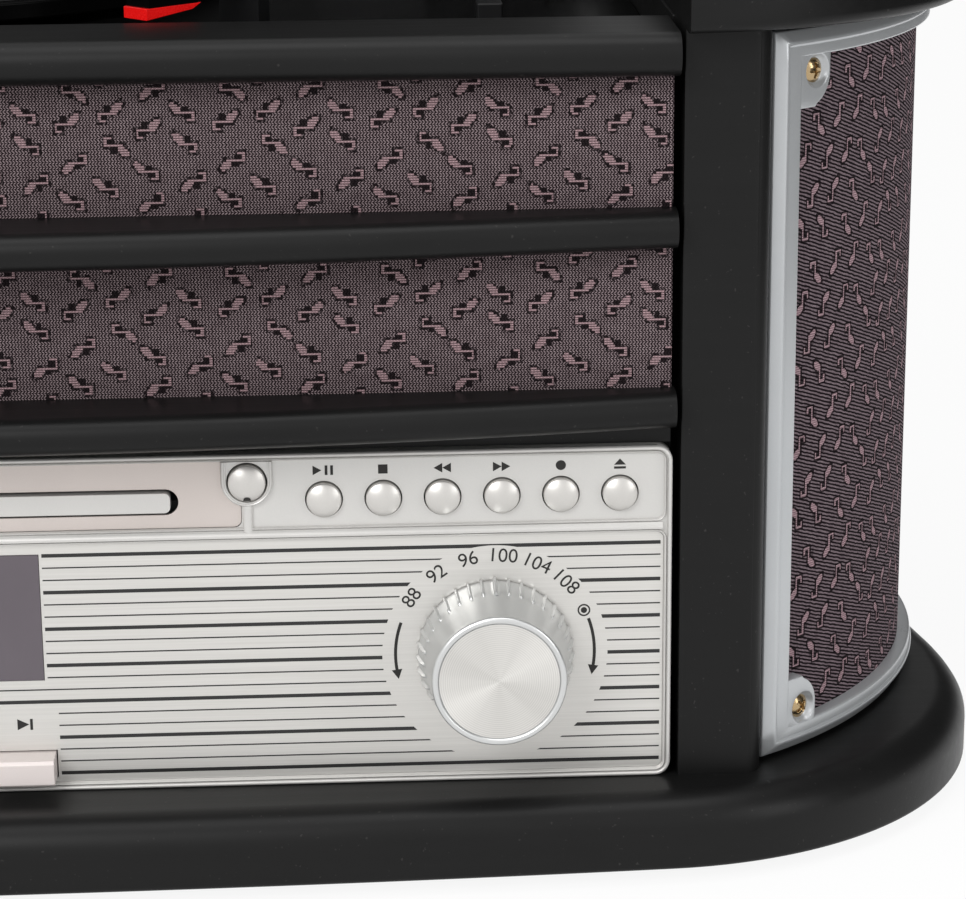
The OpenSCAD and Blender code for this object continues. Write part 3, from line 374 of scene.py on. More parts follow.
def make_note_group():
    """A woven field of quavers, each about 6 mm tall, snapped to the stitches.

    Each cell holds one, and every second row is moved by half a cell. A hash of the cell flips and
    shifts it. Its shape is the least of four distances: a tilted ellipse for the head, and bars for
    stem, beam and hook. Rim runs round it, and Patch fills corners beside its stem.
    """
    tree, t, given, out = new_group("Woven quavers", "X Y StitchX StitchY", "Note Rim Patch")
    cell_w, cell_h = 9.3, 9.6
    unlike_cols, unlike_rows, seed = 5.0, 4.0, 7.0
    head_x, head_y, head_long, head_short = -1.1, -1.9, 1.75, 0.95
    diagonal, rim = 0.7071, 0.55
    gx = t.math("SNAP", given["X"], given["StitchX"])
    gy = t.math("SNAP", given["Y"], given["StitchY"])
    row = t.floor(t.over(gy, cell_h))
    moved = t.plus(gx, t.times(t.modulo(row, 2.0), cell_w / 2))
    col = t.floor(t.over(moved, cell_w))
    cell = t.vector(t.modulo(col, unlike_cols), t.modulo(row, unlike_rows), seed)
    hashed = t.add("ShaderNodeTexWhiteNoise", {"Vector": cell}, noise_dimensions="3D")
    dice = t.parts(hashed.outputs["Color"])

    def local(place, index, size, flip, shift):
        middle = t.times(t.plus(index, 0.5), size)
        off = t.times(t.minus(shift, 0.5), 3.0)
        side = t.math("SIGN", t.minus(flip, 0.5))
        return t.times(t.minus(t.minus(place, middle), off), side)

    x = local(moved, col, cell_w, dice[0], dice[2])
    y = local(gy, row, cell_h, dice[1], hashed.outputs["Value"])

    def bar(cx, cy, half_x, half_y):
        """Distance outside a bar, from its middle and its half sizes."""
        dx = t.minus(t.size(t.minus(x, cx)), half_x)
        return t.most(dx, t.minus(t.size(t.minus(y, cy)), half_y))

    hx, hy = t.minus(x, head_x), t.minus(y, head_y)
    along = t.times(t.plus(hx, hy), diagonal / head_long)
    across = t.times(t.minus(hy, hx), diagonal / head_short)
    length = t.root(t.plus(t.times(along, along), t.times(across, across)))
    stem, beam, hook = bar(0.1, 0.3, 0.3, 2.3), bar(1.05, 2.4, 1.1, 0.32), bar(2.0, 1.7, 0.3, 0.8)
    near = t.least(t.minus(length, 1.0), t.least(stem, t.least(beam, hook)))
    patch = t.most(t.below(bar(1.05, 1.2, 0.7, 0.95), 0.0), t.below(bar(-0.95, 0.5, 0.8, 0.75), 0.0))
    note = t.below(near, 0.0)
    ground = t.minus(1.0, note)
    t.feed(out["Note"], note)
    t.feed(out["Rim"], t.times(ground, t.below(near, rim)))
    t.feed(out["Patch"], t.times(ground, patch))
    return tree


PAINT = make_paint_group()
LACQUER = make_lacquer_group()
BRUSH = make_brush_group()
QUAVERS = make_note_group()


# Materials

def painted_wood(name, dark, light, rough):
    t = new_material(name, specular_ior_level=0.19)
    out = t.group(PAINT, {"Vector": t.here(), "Grain": 0.5})
    colour = t.mix(t.times(out["Dust"], 0.1), t.mix(out["Tone"], dark, light), srgb(120, 118, 115))
    return t.surface(colour, t.spread(out["Tone"], 0.2, 0.8, rough - 0.06, rough + 0.08),
                     t.bump(out["Height"], 0.00006, 0.55))


def lacquered(name, dark, light, metallic=0.35, rough=0.34, flake=0.4):
    t = new_material(name, metallic=metallic)
    out = t.group(LACQUER, {"Vector": t.here()})
    return t.surface(t.mix(out["Tone"], dark, light),
                     t.spread(out["Tone"], 0.2, 0.8, rough - 0.12 * flake, rough + 0.18 * flake),
                     t.bump(out["Height"], 0.00001, flake))


def moulded(name, colour, rough=0.45, speck=0.03, gloss=0.4):
    """Moulded plastic or rubber: a fine grain and slightly uneven gloss."""
    t = new_material(name, specular_ior_level=gloss)
    out = t.group(LACQUER, {"Vector": t.here()})
    lighter = tuple(min(1.0, c * 1.25 + speck * 0.1) for c in colour[:3]) + (1.0,)
    return t.surface(t.mix(out["Tone"], colour, lighter),
                     t.spread(out["Tone"], 0.2, 0.8, rough - 0.06, rough + 0.1),
                     t.bump(out["Height"], 0.00003, 0.5))


def bare_metal(name, colour, rough, along=30.0):
    """Metal with fine drawn or turned streaks."""
    t = new_material(name, metallic=1.0)
    streak = t.group(BRUSH, {"Vector": t.here(), "Along": along})["Streak"]
    dimmer = tuple(c * 0.86 for c in colour[:3]) + (1.0,)
    return t.surface(t.mix(streak, dimmer, colour), t.spread(streak, 0.3, 0.7, rough - 0.05, rough + 0.08),
                     t.bump(streak, 0.00002, 0.4))


def cloth(name, sideways):
    """Grille cloth: mauve strokes on black, with woven quavers; sideways lays the quavers down.

    On the front the stitches are 0.8 by 0.6 mm and their slant turns from row to row, a zigzag. On
    the sides the strokes are 1 mm apart and fall by a fifth of that from row to row, a twill.
    """
    t = new_material(name, roughness=0.95, specular_ior_level=0.08)
    u, v = t.threads()
    thread = 0.6
    across, along = (v, u) if sideways else (u, v)
    pitch, seam_low = (0.8, 0.1) if sideways else (1.0, 0.3)
    stitch_x, stitch_y = (0.6, 0.385) if sideways else (0.25, 0.25)
    notes = t.group(QUAVERS, {"X": across, "Y": along, "StitchX": stitch_x, "StitchY": stitch_y})
    on_sheet = t.vector(u, v, 0.0)
    wobble = t.times(t.minus(t.noise(on_sheet, 0.5), 0.5), 0.6)
    rows = t.over(across, thread)
    in_row = t.minus(t.fract(rows), 0.5)
    if sideways:
        turn = t.minus(t.times(t.modulo(t.floor(rows), 2.0), 2.0), 1.0)
        slant = t.times(t.times(in_row, turn), 0.8)
    else:
        slant = t.times(rows, 0.21)
    phase = t.fract(t.plus(t.plus(t.over(along, pitch), slant), wobble))
    ridge = t.minus(1.0, t.times(t.size(t.minus(phase, 0.5)), 2.0))
    seam = t.spread(t.size(in_row), 0.25, 0.5, 1.0, seam_low)
    stroke = t.times(t.spread(ridge, 0.4, 0.62), seam)
    uneven = t.noise(on_sheet, 0.35, 3.0)
    # On the sides the ground's mauves are set darker than on the front to offset the stronger light falling
    # on the sides: painted shade
    colours = ([(112, 97, 100), (160, 144, 147), (24, 16, 19), (52, 37, 41), (174, 146, 150)] if sideways
               else [(94, 81, 87), (142, 127, 133), (20, 14, 17), (96, 76, 82), (172, 145, 151)])
    mauve, pale_mauve, black, motif_dark, motif_light = (srgb(*c) for c in colours)
    ground = t.mix(stroke, black, t.mix(uneven, mauve, pale_mauve))
    broken = t.spread(t.noise(on_sheet, 0.8, 1.0), 0.4, 0.55, 0.35 if sideways else 0.85, 0.95)
    dark = t.most(t.times(notes["Patch"], 0.95 if sideways else 0.6), t.times(notes["Rim"], broken))
    ground = t.mix(dark, ground, srgb(13, 8, 10))
    weft = t.spread(t.size(t.minus(t.fract(t.over(v, thread)), 0.5)), 0.16, 0.44, 1.0, 0.15)
    weft = t.times(weft, t.spread(stroke, 0.0, 1.0, 0.62, 1.0))
    height = t.plus(t.times(stroke, t.minus(1.0, dark)), t.times(notes["Note"], 1.4))
    return t.surface(t.mix(notes["Note"], ground, t.mix(weft, motif_dark, motif_light)),
                     normal=t.bump(height, 0.00018, 0.8))


def striped_metal():
    """Brushed pale plate with black lines at whole steps of the height, every third one thick.
    Left out are the window, the labels of the keys, and a circle round each dial."""
    top_line, step, thin_half, more_if_thick = 82.4, 3.277, 0.19, 0.3
    window_x, window_z, label_x, label_z, line_end, dial_r = 31.0, 48.0, 33.4, 41.5, 188.2, 29.0
    metallic = 0.55
    t = new_material("Striped plate", metallic=metallic)
    x, _, z = t.parts(t.here())
    x = t.times(t.size(x), 1000.0)
    z = t.math("MULTIPLY_ADD", z, 1000.0, -FOOT_H)
    streak = t.group(BRUSH, {"Vector": t.here(), "Along": 18.0})["Streak"]
    steps = t.over(t.minus(top_line, z), step)
    nearest = t.math("ROUND", steps)
    away = t.times(t.size(t.minus(steps, nearest)), step)
    thick = t.below(t.modulo(nearest, 3.0), 0.5)
    line = t.below(away, t.math("MULTIPLY_ADD", thick, more_if_thick, thin_half))
    dx, dz = t.minus(x, KNOB_X), t.minus(z, KNOB_Z)
    outside = t.above(t.root(t.plus(t.times(dx, dx), t.times(dz, dz))), dial_r)
    beside = t.most(t.above(x, window_x), t.below(z, window_z))
    over_keys = t.most(t.above(x, label_x), t.above(z, label_z))
    shown = t.times(t.times(outside, beside), t.times(over_keys, t.below(x, line_end)))
    plate = t.mix(streak, srgb(197, 195, 191), srgb(217, 215, 211))
    ink = t.times(line, shown)
    return t.surface(t.mix(ink, plate, srgb(24, 24, 24)), t.spread(streak, 0.3, 0.7, 0.3, 0.42),
                     t.bump(streak, 0.00002, 0.35), t.times(t.minus(1.0, ink), metallic))


def spun_metal():
    """Turned face of a dial: rings of fine grooves, 0.55 mm apart, and two soft rays across it, which are a
    painted highlight standing in for the wedges of light a turned face reflects.
    """
    t = new_material("Spun metal", metallic=0.85, anisotropic=0.8, roughness=0.32)
    round_it, radius = t.threads()
    groove = t.sine(t.times(radius, 2 * math.pi / 0.55))
    fine = t.noise(t.vector(radius, 0.0, 0.0), 4.0)
    turned_by = t.over(round_it, FACE_UV_R)
    # Painted highlight: the colour is made brighter in two rays by the angle round the face, standing in for
    # reflected wedges of light
    painted_rays = t.cosine(t.times(t.minus(turned_by, 0.75), 2.0))
    uneven = t.noise(t.vector(t.sine(turned_by), t.cosine(turned_by), 0.0), 1.6, 1.0)
    painted_rays = t.plus(t.spread(painted_rays, -1.0, 1.0, 0.0, 0.6), t.spread(uneven, 0.35, 0.65, 0.0, 0.4))
    tone = t.plus(t.times(t.spread(groove, -1.0, 1.0), 0.3), t.plus(t.times(fine, 0.3), t.times(painted_rays, 0.4)))
    tangent = t.add("ShaderNodeTangent", direction_type="UV_MAP", uv_map="Threads").outputs[0]
    t.feed(t.tree.nodes["Principled BSDF"].inputs["Tangent"], tangent)
    return t.surface(t.mix(tone, srgb(188, 186, 182), srgb(234, 232, 228)),
                     normal=t.bump(groove, 0.00001, 0.35))


def window_glass():
    """Dark violet display window behind gloss."""
    t = new_material("Display window", roughness=0.12, coat_weight=0.4, coat_roughness=0.05)
    return t.surface(t.mix(t.noise(t.here(), 60.0), srgb(80, 72, 79), srgb(89, 81, 88)))


BLACK_WOOD = painted_wood("Black paint", srgb(13, 13, 13), srgb(21, 21, 21), 0.36)
FRONT_CLOTH = cloth("Front cloth", True)
SIDE_CLOTH = cloth("Side cloth", False)
SILVER = lacquered("Silver lacquer", srgb(190, 189, 186), srgb(208, 206, 203))
SIDE_SILVER = lacquered("Side frame lacquer", srgb(172, 175, 177), srgb(192, 194, 196), 0.5, 0.28, 0.1)
BUTTON_SILVER = lacquered("Button lacquer", srgb(196, 194, 190), srgb(214, 211, 207), 0.75, 0.36, 0.2)
KEY_SILVER = lacquered("Key lacquer", srgb(206, 197, 194), srgb(222, 213, 210), 0.25, 0.34, 0.2)
DIAL_SILVER = lacquered("Dial lacquer", srgb(200, 201, 201), srgb(212, 213, 212), 0.8, 0.3, 0.06)
TRAY_GREY = lacquered("Warm grey plate", srgb(188, 179, 174), srgb(206, 197, 192), 0.45, 0.36)
STRIPED = striped_metal()
SPUN = spun_metal()
WINDOW = window_glass()
BRASS = bare_metal("Bright brass", srgb(186, 162, 124), 0.2, 900.0)
STEEL = bare_metal("Plain steel", srgb(176, 176, 178), 0.32)
BLACK_PLASTIC = moulded("Black plastic", srgb(14, 14, 15), 0.4, 0.02, 0.2)
GLOSS_BLACK = moulded("Deck black", srgb(4, 4, 4), 0.2, 0.01, 0.04)
INK = moulded("Printed ink", srgb(40, 39, 38), 0.6, 0.03, 0.2)
RED = moulded("Red plastic", srgb(228, 10, 8), 0.22)
RUBBER = moulded("Rubber", srgb(20, 20, 20), 0.75)
GREEN_BOARD = moulded("Circuit board", srgb(24, 82, 48), 0.4)
MECHANISM = moulded("Mechanism grey", srgb(96, 96, 98), 0.4)


# Boards with the bowed front and round corners, as in the part's source
HALF_W, CORNER_R, BOW_R, NOSE = 283.0, 97.3, 3600.0, 24.6
END_R, END_TURN = 155.0, 10.0
CORNER_X = HALF_W - CORNER_R
BOW_A = math.degrees(math.asin((HALF_W - CORNER_R) / (BOW_R - CORNER_R)))
BOW_Y = BOW_R - NOSE
CORNER_Y = BOW_Y - (BOW_R - CORNER_R) * math.cos(math.radians(BOW_A))
CROWN_INSET, CROWN_CUT = 6.0, 193.0
LID_X, LID_Y0, LID_Z0, LID_H, LID_LIP, LID_T = 191.5, CORNER_Y - CORNER_R + 18, 214.1, 33.0, 8.0, 9.0


def board_edge(thickness, under, over):
    """(inset, height) down a board's edge: a quarter circle below and one above."""
    a = np.radians(np.linspace(0, 90, 6))
    b = np.radians(np.linspace(0, 90, 13))
    low = np.stack([under * (1 - np.sin(a)), under * (1 - np.cos(a))], -1)
    high = np.stack([over * (1 - np.cos(b)), thickness - over * (1 - np.sin(b))], -1)
    return np.concatenate([low, high])


def end_plan(inset, start):
    """A board's right end: the corner's arc from the start angle, a wider arc through END_TURN
    degrees, and a straight line to the back."""
    turn = math.radians(END_TURN)
    r = END_R - inset
    x = HALF_W - END_R + (r - (BODY_DEPTH - CORNER_Y) * math.sin(turn)) / math.cos(turn)
    return np.concatenate([arc(CORNER_X, CORNER_Y, CORNER_R - inset, start, 0, 44),
                           arc(HALF_W - END_R, CORNER_Y, r, 0, END_TURN, 8)[1:], [[x, BODY_DEPTH]]])


def base_plan(inset):
    """Bow at the front, and the same end at both sides."""
    right = end_plan(inset, -90 + BOW_A)
    front = arc(0, BOW_Y, BOW_R - inset, -90 - BOW_A, -90 + BOW_A, 40)
    return np.concatenate([front, right[1:], (right * [-1, 1])[:0:-1]])


def crown_plan(inset):
    """The board's end, cut off straight at the inside."""
    start = -math.degrees(math.acos((CROWN_CUT - CORNER_X) / (CORNER_R - inset)))
    return np.concatenate([end_plan(inset, start), [[CROWN_CUT, BODY_DEPTH]]])


def front_line(x, inset):
    """Depth of the board's front edge at x, for an edge drawn in by inset."""
    ax = np.abs(x)
    r = CORNER_R - inset
    bow = BOW_Y - np.sqrt((BOW_R - inset) ** 2 - x ** 2)
    corner = CORNER_Y - np.sqrt(np.maximum(r ** 2 - np.maximum(ax - CORNER_X, 0) ** 2, 0))
    return np.where(ax < CORNER_X + r * math.sin(math.radians(BOW_A)), bow, corner)


def lid_strip_plan(inset):
    x = np.linspace(-LID_X, LID_X, 81)
    return np.concatenate([np.stack([x, front_line(x, inset)], -1), [[LID_X, LID_Y0], [-LID_X, LID_Y0]]])


def lid_top_plan(inset):
    x, y, r = LID_X + LID_LIP - inset, LID_Y0 - LID_LIP + inset, 14 - inset
    return np.concatenate([arc(r - x, y + r, r, 180, 270, 10), arc(x - r, y + r, r, 270, 360, 10),
                           [[x, BODY_DEPTH], [-x, BODY_DEPTH]]])


def board(plan, edge, z0):
    """Skin over the plan drawn in by each inset of the edge."""
    return skin([xyz(*plan(inset).T, z0 + height) for inset, height in edge])


def opened(surface):
    """Turns a closed lid surface by a quarter turn about its hinge: (y, z) to (Y + z - Z, Z - y + Y)."""
    points, faces = surface
    y, z = points[:, 1] - HINGE[0], points[:, 2] - HINGE[1]
    return xyz(points[:, 0], HINGE[0] + z, HINGE[1] - y), faces


place(build("base_board_shaped", board(base_plan, board_edge(BOARD_T, 1.5, 9.0), 0.0)), BLACK_WOOD,
      replaces=["base_board"])
crown = board(lambda i: crown_plan(i + CROWN_INSET), board_edge(BOARD_T, 3.0, 9.0), CARCASS_TOP)
place(build("crown_shaped", joined([crown, mirrored(crown)])), BLACK_WOOD, replaces=["crown_mouldings"])
strip = board(lambda i: lid_strip_plan(i + CROWN_INSET), board_edge(18.5, 3.0, 9.0), LID_Z0)
place(build("lid_strip_shaped", opened(strip)), BLACK_WOOD, "lid", ["lid_moulding"])
top = board(lid_top_plan, board_edge(LID_T, 2.0, LID_T - 4), LID_Z0 + LID_H)
place(build("lid_top_shaped", opened(top)), BLACK_WOOD, "lid", ["lid_top"])


def rail(nose_y, z, thickness, back_y, bow):
    """A rail with a half-round nose: its section is carried along X, and the nose follows an arc
    of the given bow, y = nose_y + R - sqrt(R^2 - x^2)."""
    x = np.linspace(-RAIL_END, RAIL_END, 97)
    bow_r = (RAIL_END ** 2 + bow ** 2) / (2 * bow) if bow else None
    sag = bow_r - np.sqrt(bow_r ** 2 - x ** 2) if bow else 0 * x
    r = thickness / 2
    a = np.radians(np.linspace(90, 270, 25))
    rings = [np.concatenate([xyz(xi, nose_y + si + r + r * np.cos(a), z + r + r * np.sin(a)),
                             xyz(xi, back_y, [z, z + thickness])]) for xi, si in zip(x, sag)]
    return skin(rings)


for name, nose_y, z, thickness, back_y, bow in (("upper_rail", -22.0, 159.8, 9.4, 1.5, 14.0),
                                                ("lower_rail", -22.0, 113.8, 9.4, 1.5, 14.0),
                                                ("top_rail", -11.0, 202.8, 10.8, 22.0, 0.0)):
    place(build(name + "_shaped", rail(nose_y, z, thickness, back_y, bow), 60), BLACK_WOOD, replaces=[name])


# Grille cloth

def front_cloth_sheet(z0, z1):
    """A flat sheet in front of its board, pulled in by 0.15 mm between its edges as cloth is."""
    x, z = np.meshgrid(np.linspace(-CLOTH_END, CLOTH_END, 161), np.linspace(z0, z1, 25))
    y = 0.32 + 0.12 * np.sin(np.pi * (z - z0) / (z1 - z0)) + 0.04 * np.sin(x * 0.11 + z * 0.3)
    return (xyz(x, y, z).reshape(-1, 3), ring_quads(25, 161, False)), np.stack([x, z], -1).reshape(-1, 2)


for name, z0, z1 in (("lower_front_cloth", 123.2, 159.8), ("upper_front_cloth", 169.2, 202.8)):
    sheet, threads = front_cloth_sheet(z0, z1)
    obj = place(build(name, sheet, weld=False, uv=threads), FRONT_CLOTH, replaces=["front_cloth"])

SIDE_CX, SIDE_CY, SIDE_R, SIDE_TURN = 145.3, 110.0, 127.5, 12.0
FRAME_T, FRAME_W, FRAME_BAR, FRAME_X0, FRAME_RUN = 5.2, 8.6, 6.9, 217.0, 115.0
FRAME_Z0, FRAME_Z1 = BOARD_T + 1.2, CARCASS_TOP - 2.4
FRAME_A0 = -math.acos((FRAME_X0 - SIDE_CX) / SIDE_R)
ARC_LEN = (math.radians(SIDE_TURN) - FRAME_A0) * SIDE_R
SIDE_LEN = ARC_LEN + FRAME_RUN
SCREW_IN, SCREW_INSET = 14.4, 10.8


def on_side(s, z, depth):
    """A point on the cabinet's side: s mm from the frame's front edge, round the corner's arc and
    then straight on, and depth mm inside the outer face."""
    s, depth = np.asarray(s, float), np.asarray(depth, float)
    a = FRAME_A0 + np.minimum(s, ARC_LEN) / SIDE_R
    past = np.maximum(s - ARC_LEN, 0)
    r = SIDE_R - depth
    return xyz(SIDE_CX + r * np.cos(a) - past * np.sin(a), SIDE_CY + r * np.sin(a) + past * np.cos(a), z)


def side_cloth_sheet():
    s, z = np.meshgrid(np.linspace(FRAME_W, SIDE_LEN - FRAME_W, 121),
                       np.linspace(FRAME_Z0 + FRAME_BAR, FRAME_Z1 - FRAME_BAR, 49))
    points = on_side(s, z, FRAME_T - 1.15).reshape(-1, 3)
    return (points, ring_quads(49, 121, False)), np.stack([s, z], -1).reshape(-1, 2)


surface, threads = side_cloth_sheet()
for side, sheet in ("right", surface), ("left", mirrored(surface)):
    obj = build(side + "_cloth", sheet, weld=False, uv=threads)
    place(obj, SIDE_CLOTH, replaces=[side + "_side_cloth"])


# Silver side frames: a bevel, a ridge and a flat band, mitred at the corners, and a dished lug
# for each screw

FLAT = 0.55


def frame_bars():
    """Rings of the frame's section, each a rectangle on the side at a depth, drawn in by a width."""
    outer = [(0.0, FRAME_T), (0.0, 2.3), (0.12, 1.9), (0.4, 1.65), (2.3, 0.45), (2.6, 0.18), (2.95, 0.03),
             (3.3, 0.0), (3.6, 0.06), (3.85, 0.28), (4.05, FLAT)]
    inner = [(0.55, FLAT), (0.25, FLAT + 0.06), (0.08, FLAT + 0.28), (0.0, FLAT + 0.6), (0.0, FRAME_T)]
    sizes = [(w, w, depth) for w, depth in outer] + [(FRAME_W - w, FRAME_BAR - w, d) for w, d in inner]
    t = np.linspace(0, 1, 97)
    upright = t[:33] / t[32]
    rings = []
    for ws, wz, depth in sizes:
        s0, s1, z0, z1 = ws, SIDE_LEN - ws, FRAME_Z0 + wz, FRAME_Z1 - wz
        s = np.concatenate([s0 + (s1 - s0) * t, np.full(32, s1), (s1 + (s0 - s1) * t)[1:], np.full(31, s0)])
        z = np.concatenate([np.full(97, z0), (z0 + (z1 - z0) * upright)[1:], np.full(96, z1),
                            (z1 + (z0 - z1) * upright)[1:-1]])
        rings.append(on_side(s, z, depth))
    return skin(rings + rings[:1], caps=False)


def screw_place(front, low):
    """Where a screw sits: its distance along the side, and its height."""
    return (SCREW_IN if front else SIDE_LEN - SCREW_IN,
            FRAME_Z0 + SCREW_INSET if low else FRAME_Z1 - SCREW_INSET)


LUG_R, LUG_ALONG, LUG_UP, DISH_R = 8.5, 5.0, 9.0, 4.35


def lug_outline(a):
    """Distance from the screw to the lug's edge at each angle: straight edges LUG_ALONG and LUG_UP
    away, joined by an arc of LUG_R; the other sides end under the frame."""
    u, v = np.cos(a), np.sin(a)
    reach = np.minimum(np.where(u > 0, LUG_ALONG, SCREW_IN - 4.4) / np.maximum(np.abs(u), 1e-6),
                       np.where(v > 0, LUG_UP, SCREW_INSET - 4.2) / np.maximum(np.abs(v), 1e-6))
    cu, cv = LUG_ALONG - LUG_R, LUG_UP - LUG_R
    b = u * cu + v * cv
    root = b ** 2 - (cu ** 2 + cv ** 2 - LUG_R ** 2)
    far = b + np.sqrt(np.maximum(root, 0))
    in_corner = (far * u > cu) & (far * v > cv) & (u > 0.0) & (v > 0)
    return np.where(in_corner, np.minimum(far, reach), reach)


def lug(front, low):
    """The lug's plate on a polar grid round its screw: a round dish, a flat, and a rounded edge."""
    a = whole_turn(96)
    edge, flat = lug_outline(a), FLAT + 0.05
    rings = [(np.full(96, r), d) for r, d in (
        (0.02, 2.5), (1.6, 2.48), (2.9, 2.3), (3.5, 1.9), (3.95, 1.3), (4.2, 0.85), (DISH_R, 0.66),
        (DISH_R + 0.2, flat))]
    rings += [(edge - 0.3, flat), (edge - 0.1, flat + 0.05), (edge, FLAT + 0.3), (edge, 4.1),
              (edge - 1.5, 4.1)]
    s0, z0 = screw_place(front, low)
    across, up = (1 if front else -1) * np.cos(a), (1 if low else -1) * np.sin(a)
    return skin([on_side(s0 + r * across, z0 + r * up, d) for r, d in rings])


def screw_head(front, low):
    """A domed head on a polar grid, sunk by a cross of two slots with sloping ends."""
    a = whole_turn(72)[None, :]
    r = np.concatenate([np.linspace(0.02, 2.2, 18), np.linspace(2.35, 3.0, 5), [3.12, 3.15, 3.15]])[:, None]
    dome = 1.55 * (1 - (np.minimum(r, 3.1) / 3.55) ** 2)
    dome[-2:] = [[0.15], [0.0]]
    spin = a + (0.5 if low else -0.35) + (0.4 if front else 0.0)
    x, y = np.abs(r * np.cos(spin)), np.abs(r * np.sin(spin))
    slots = [np.clip((0.55 - w) / 0.16, 0, 1) * np.clip((2.0 - q) / 0.5, 0, 1) for w, q in ((x, y), (y, x))]
    rise = dome - 0.95 * np.maximum(*slots)
    s0, z0 = screw_place(front, low)
    return skin(on_side(s0 + r * np.cos(a), z0 + r * np.sin(a), 2.45 - rise))


corners = [(front, low) for front in (True, False) for low in (True, False)]
frame_side = joined([frame_bars()] + [lug(*c) for c in corners])
heads = joined([screw_head(*c) for c in corners])
for side, surface in ("right", frame_side), ("left", mirrored(frame_side)):
    place(build(side + "_frame", surface, 50), SIDE_SILVER, replaces=[side + "_side_frame"])
place(build("frame_screw_heads", joined([heads, mirrored(heads)]), 40), BRASS, replaces=["frame_screws"])


# Pieces that keep the CAD shape: node, mm by which its edges are eased, material, body if not cabinet
CAD_PIECES = (
    ("side_walls", 0.5, BLACK_WOOD), ("back_panel", 0.3, BLACK_WOOD), ("back_rail", 0.6, BLACK_WOOD),
    ("front_board", 0.0, BLACK_WOOD), ("inner_walls", 0.4, BLACK_WOOD), ("lid_frame", 0.8, BLACK_WOOD, "lid"),
    ("rubber_feet", 0.6, RUBBER), ("striped_plate", 0.0, STRIPED), ("tray_plate", 0.15, TRAY_GREY),
    ("display_window", 0.25, WINDOW), ("cd_tray", 0.4, SILVER, "disc_tray"),
    ("cd_mechanism", 0.3, MECHANISM), ("control_board", 0.0, GREEN_BOARD), ("deck_plate", 0.3, GLOSS_BLACK),
    ("hinge_bases", 0.2, STEEL), ("hinge_wings", 0.2, STEEL, "lid"), ("speakers", 0.0, BLACK_PLASTIC),
    ("platter", 0.3, GLOSS_BLACK, "record_platter"), ("platter_mat", 0.15, RUBBER, "record_platter"),
    ("drive_belt", 0.0, RUBBER), ("drive_motor", 0.4, STEEL), ("motor_pulley", 0.2, BRASS, "drive_pulley"),
    ("tonearm_base", 0.5, BLACK_PLASTIC), ("tonearm_yoke", 0.4, BLACK_PLASTIC, "arm_turret"),
    ("tonearm", 0.5, GLOSS_BLACK, "pickup_arm"), ("stylus_carrier", 0.35, RED, "pickup_arm"),
    ("lift_lever", 0.5, BLACK_PLASTIC, "arm_lift_lever"),
    ("speed_switch", 0.5, BLACK_PLASTIC, "speed_slider"), ("rear_sockets", 0.3, BLACK_PLASTIC),
    ("left_key", 0.4, KEY_SILVER, "left_key_body"), ("middle_key", 0.4, KEY_SILVER, "middle_key_body"),
    ("right_key", 0.4, KEY_SILVER, "right_key_body"))
for node, ease, material, *body in CAD_PIECES:
    place(eased_copy(node, ease), material, *body, replaces=[node])
place(eased_copy("pilasters", 3.5, 6, 60, True), BLACK_WOOD, replaces=["pilasters"])


# Control panel: the CAD plate with its proud edges taken down, under rounded mouldings

PANEL_X, PANEL_Z0, PANEL_Z1 = 191.0, BOARD_T, PANEL_TOP
FIELD_X, LOWER_Z1, UPPER_Z0 = 189.0, 85.4, 88.8
ROUND_END = PANEL_Z1 - 2.0


def panel_plate():
    """The panel's CAD mesh with every point in front of the face pressed back to 0.3 mm before it."""
    plate = eased_copy("control_panel", 0.0)
    co = coords(plate.data)
    co[:, 1] = np.maximum(co[:, 1], (FACE_Y - 0.3) * MM)
    plate.data.vertices.foreach_set("co", co.ravel())
    return plate


def moulding(x0, x1, z0, z1, r, section):
    """A ring round a rectangle, from the section's rows of (inset, height)."""
    rings = []
    for inset, height in section:
        x, z = rounded_rect(x0 + inset, x1 - inset, z0 + inset, z1 - inset, max(r - inset, 0.3)).T
        rings.append(xyz(x, -height, z))
    return skin(rings + rings[:1], caps=False)


def swept(path, section):
    """Carries a section along a path: path rows are (x, z, nx, nz), section rows (offset, height),
    and each point is (x + nx offset, -height, z + nz offset)."""
    x, z, nx, nz = np.asarray(path, float).T[:, :, None]
    offset, height = np.asarray(section, float).T
    return skin(xyz(x + nx * offset, -height, z + nz * offset))


def bezel(x):
    """A raised U round a domed button: down one side, half round below, up the other side."""
    a = np.radians(np.linspace(0, -180, 25))
    path = [(x, ROUND_END, 1, 0), (x, DOME_Z + 3.4, 1, 0)]
    path += [(x, DOME_Z, c, q) for c, q in zip(np.cos(a), np.sin(a))]
    path += [(x, DOME_Z + 3.4, -1, 0), (x, ROUND_END, -1, 0)]
    section = [(5.12, -0.2), (5.12, 0.85), (5.3, 1.15), (5.6, 1.15), (5.72, 1.3), (5.95, 1.4), (6.2, 1.3),
               (6.42, 0.9), (6.5, 0.4), (6.55, -0.2)]
    return swept(path, section)


def bezel_plate(x):
    """The flat over a domed button: from its hole's upper half out to the sides and the top edge."""
    a = np.radians(np.linspace(0, 180, 33))
    reach = np.minimum(5.3 / np.maximum(np.abs(np.cos(a)), 1e-6),
                       (ROUND_END - DOME_Z) / np.maximum(np.sin(a), 1e-6))
    section = (5.12, -0.2), (5.12, 0.85), (5.25, 1.0), (reach, 1.0), (reach, -0.2)
    return skin(np.stack([around(x, DOME_Z, r, a, -h) for r, h in section], 1))


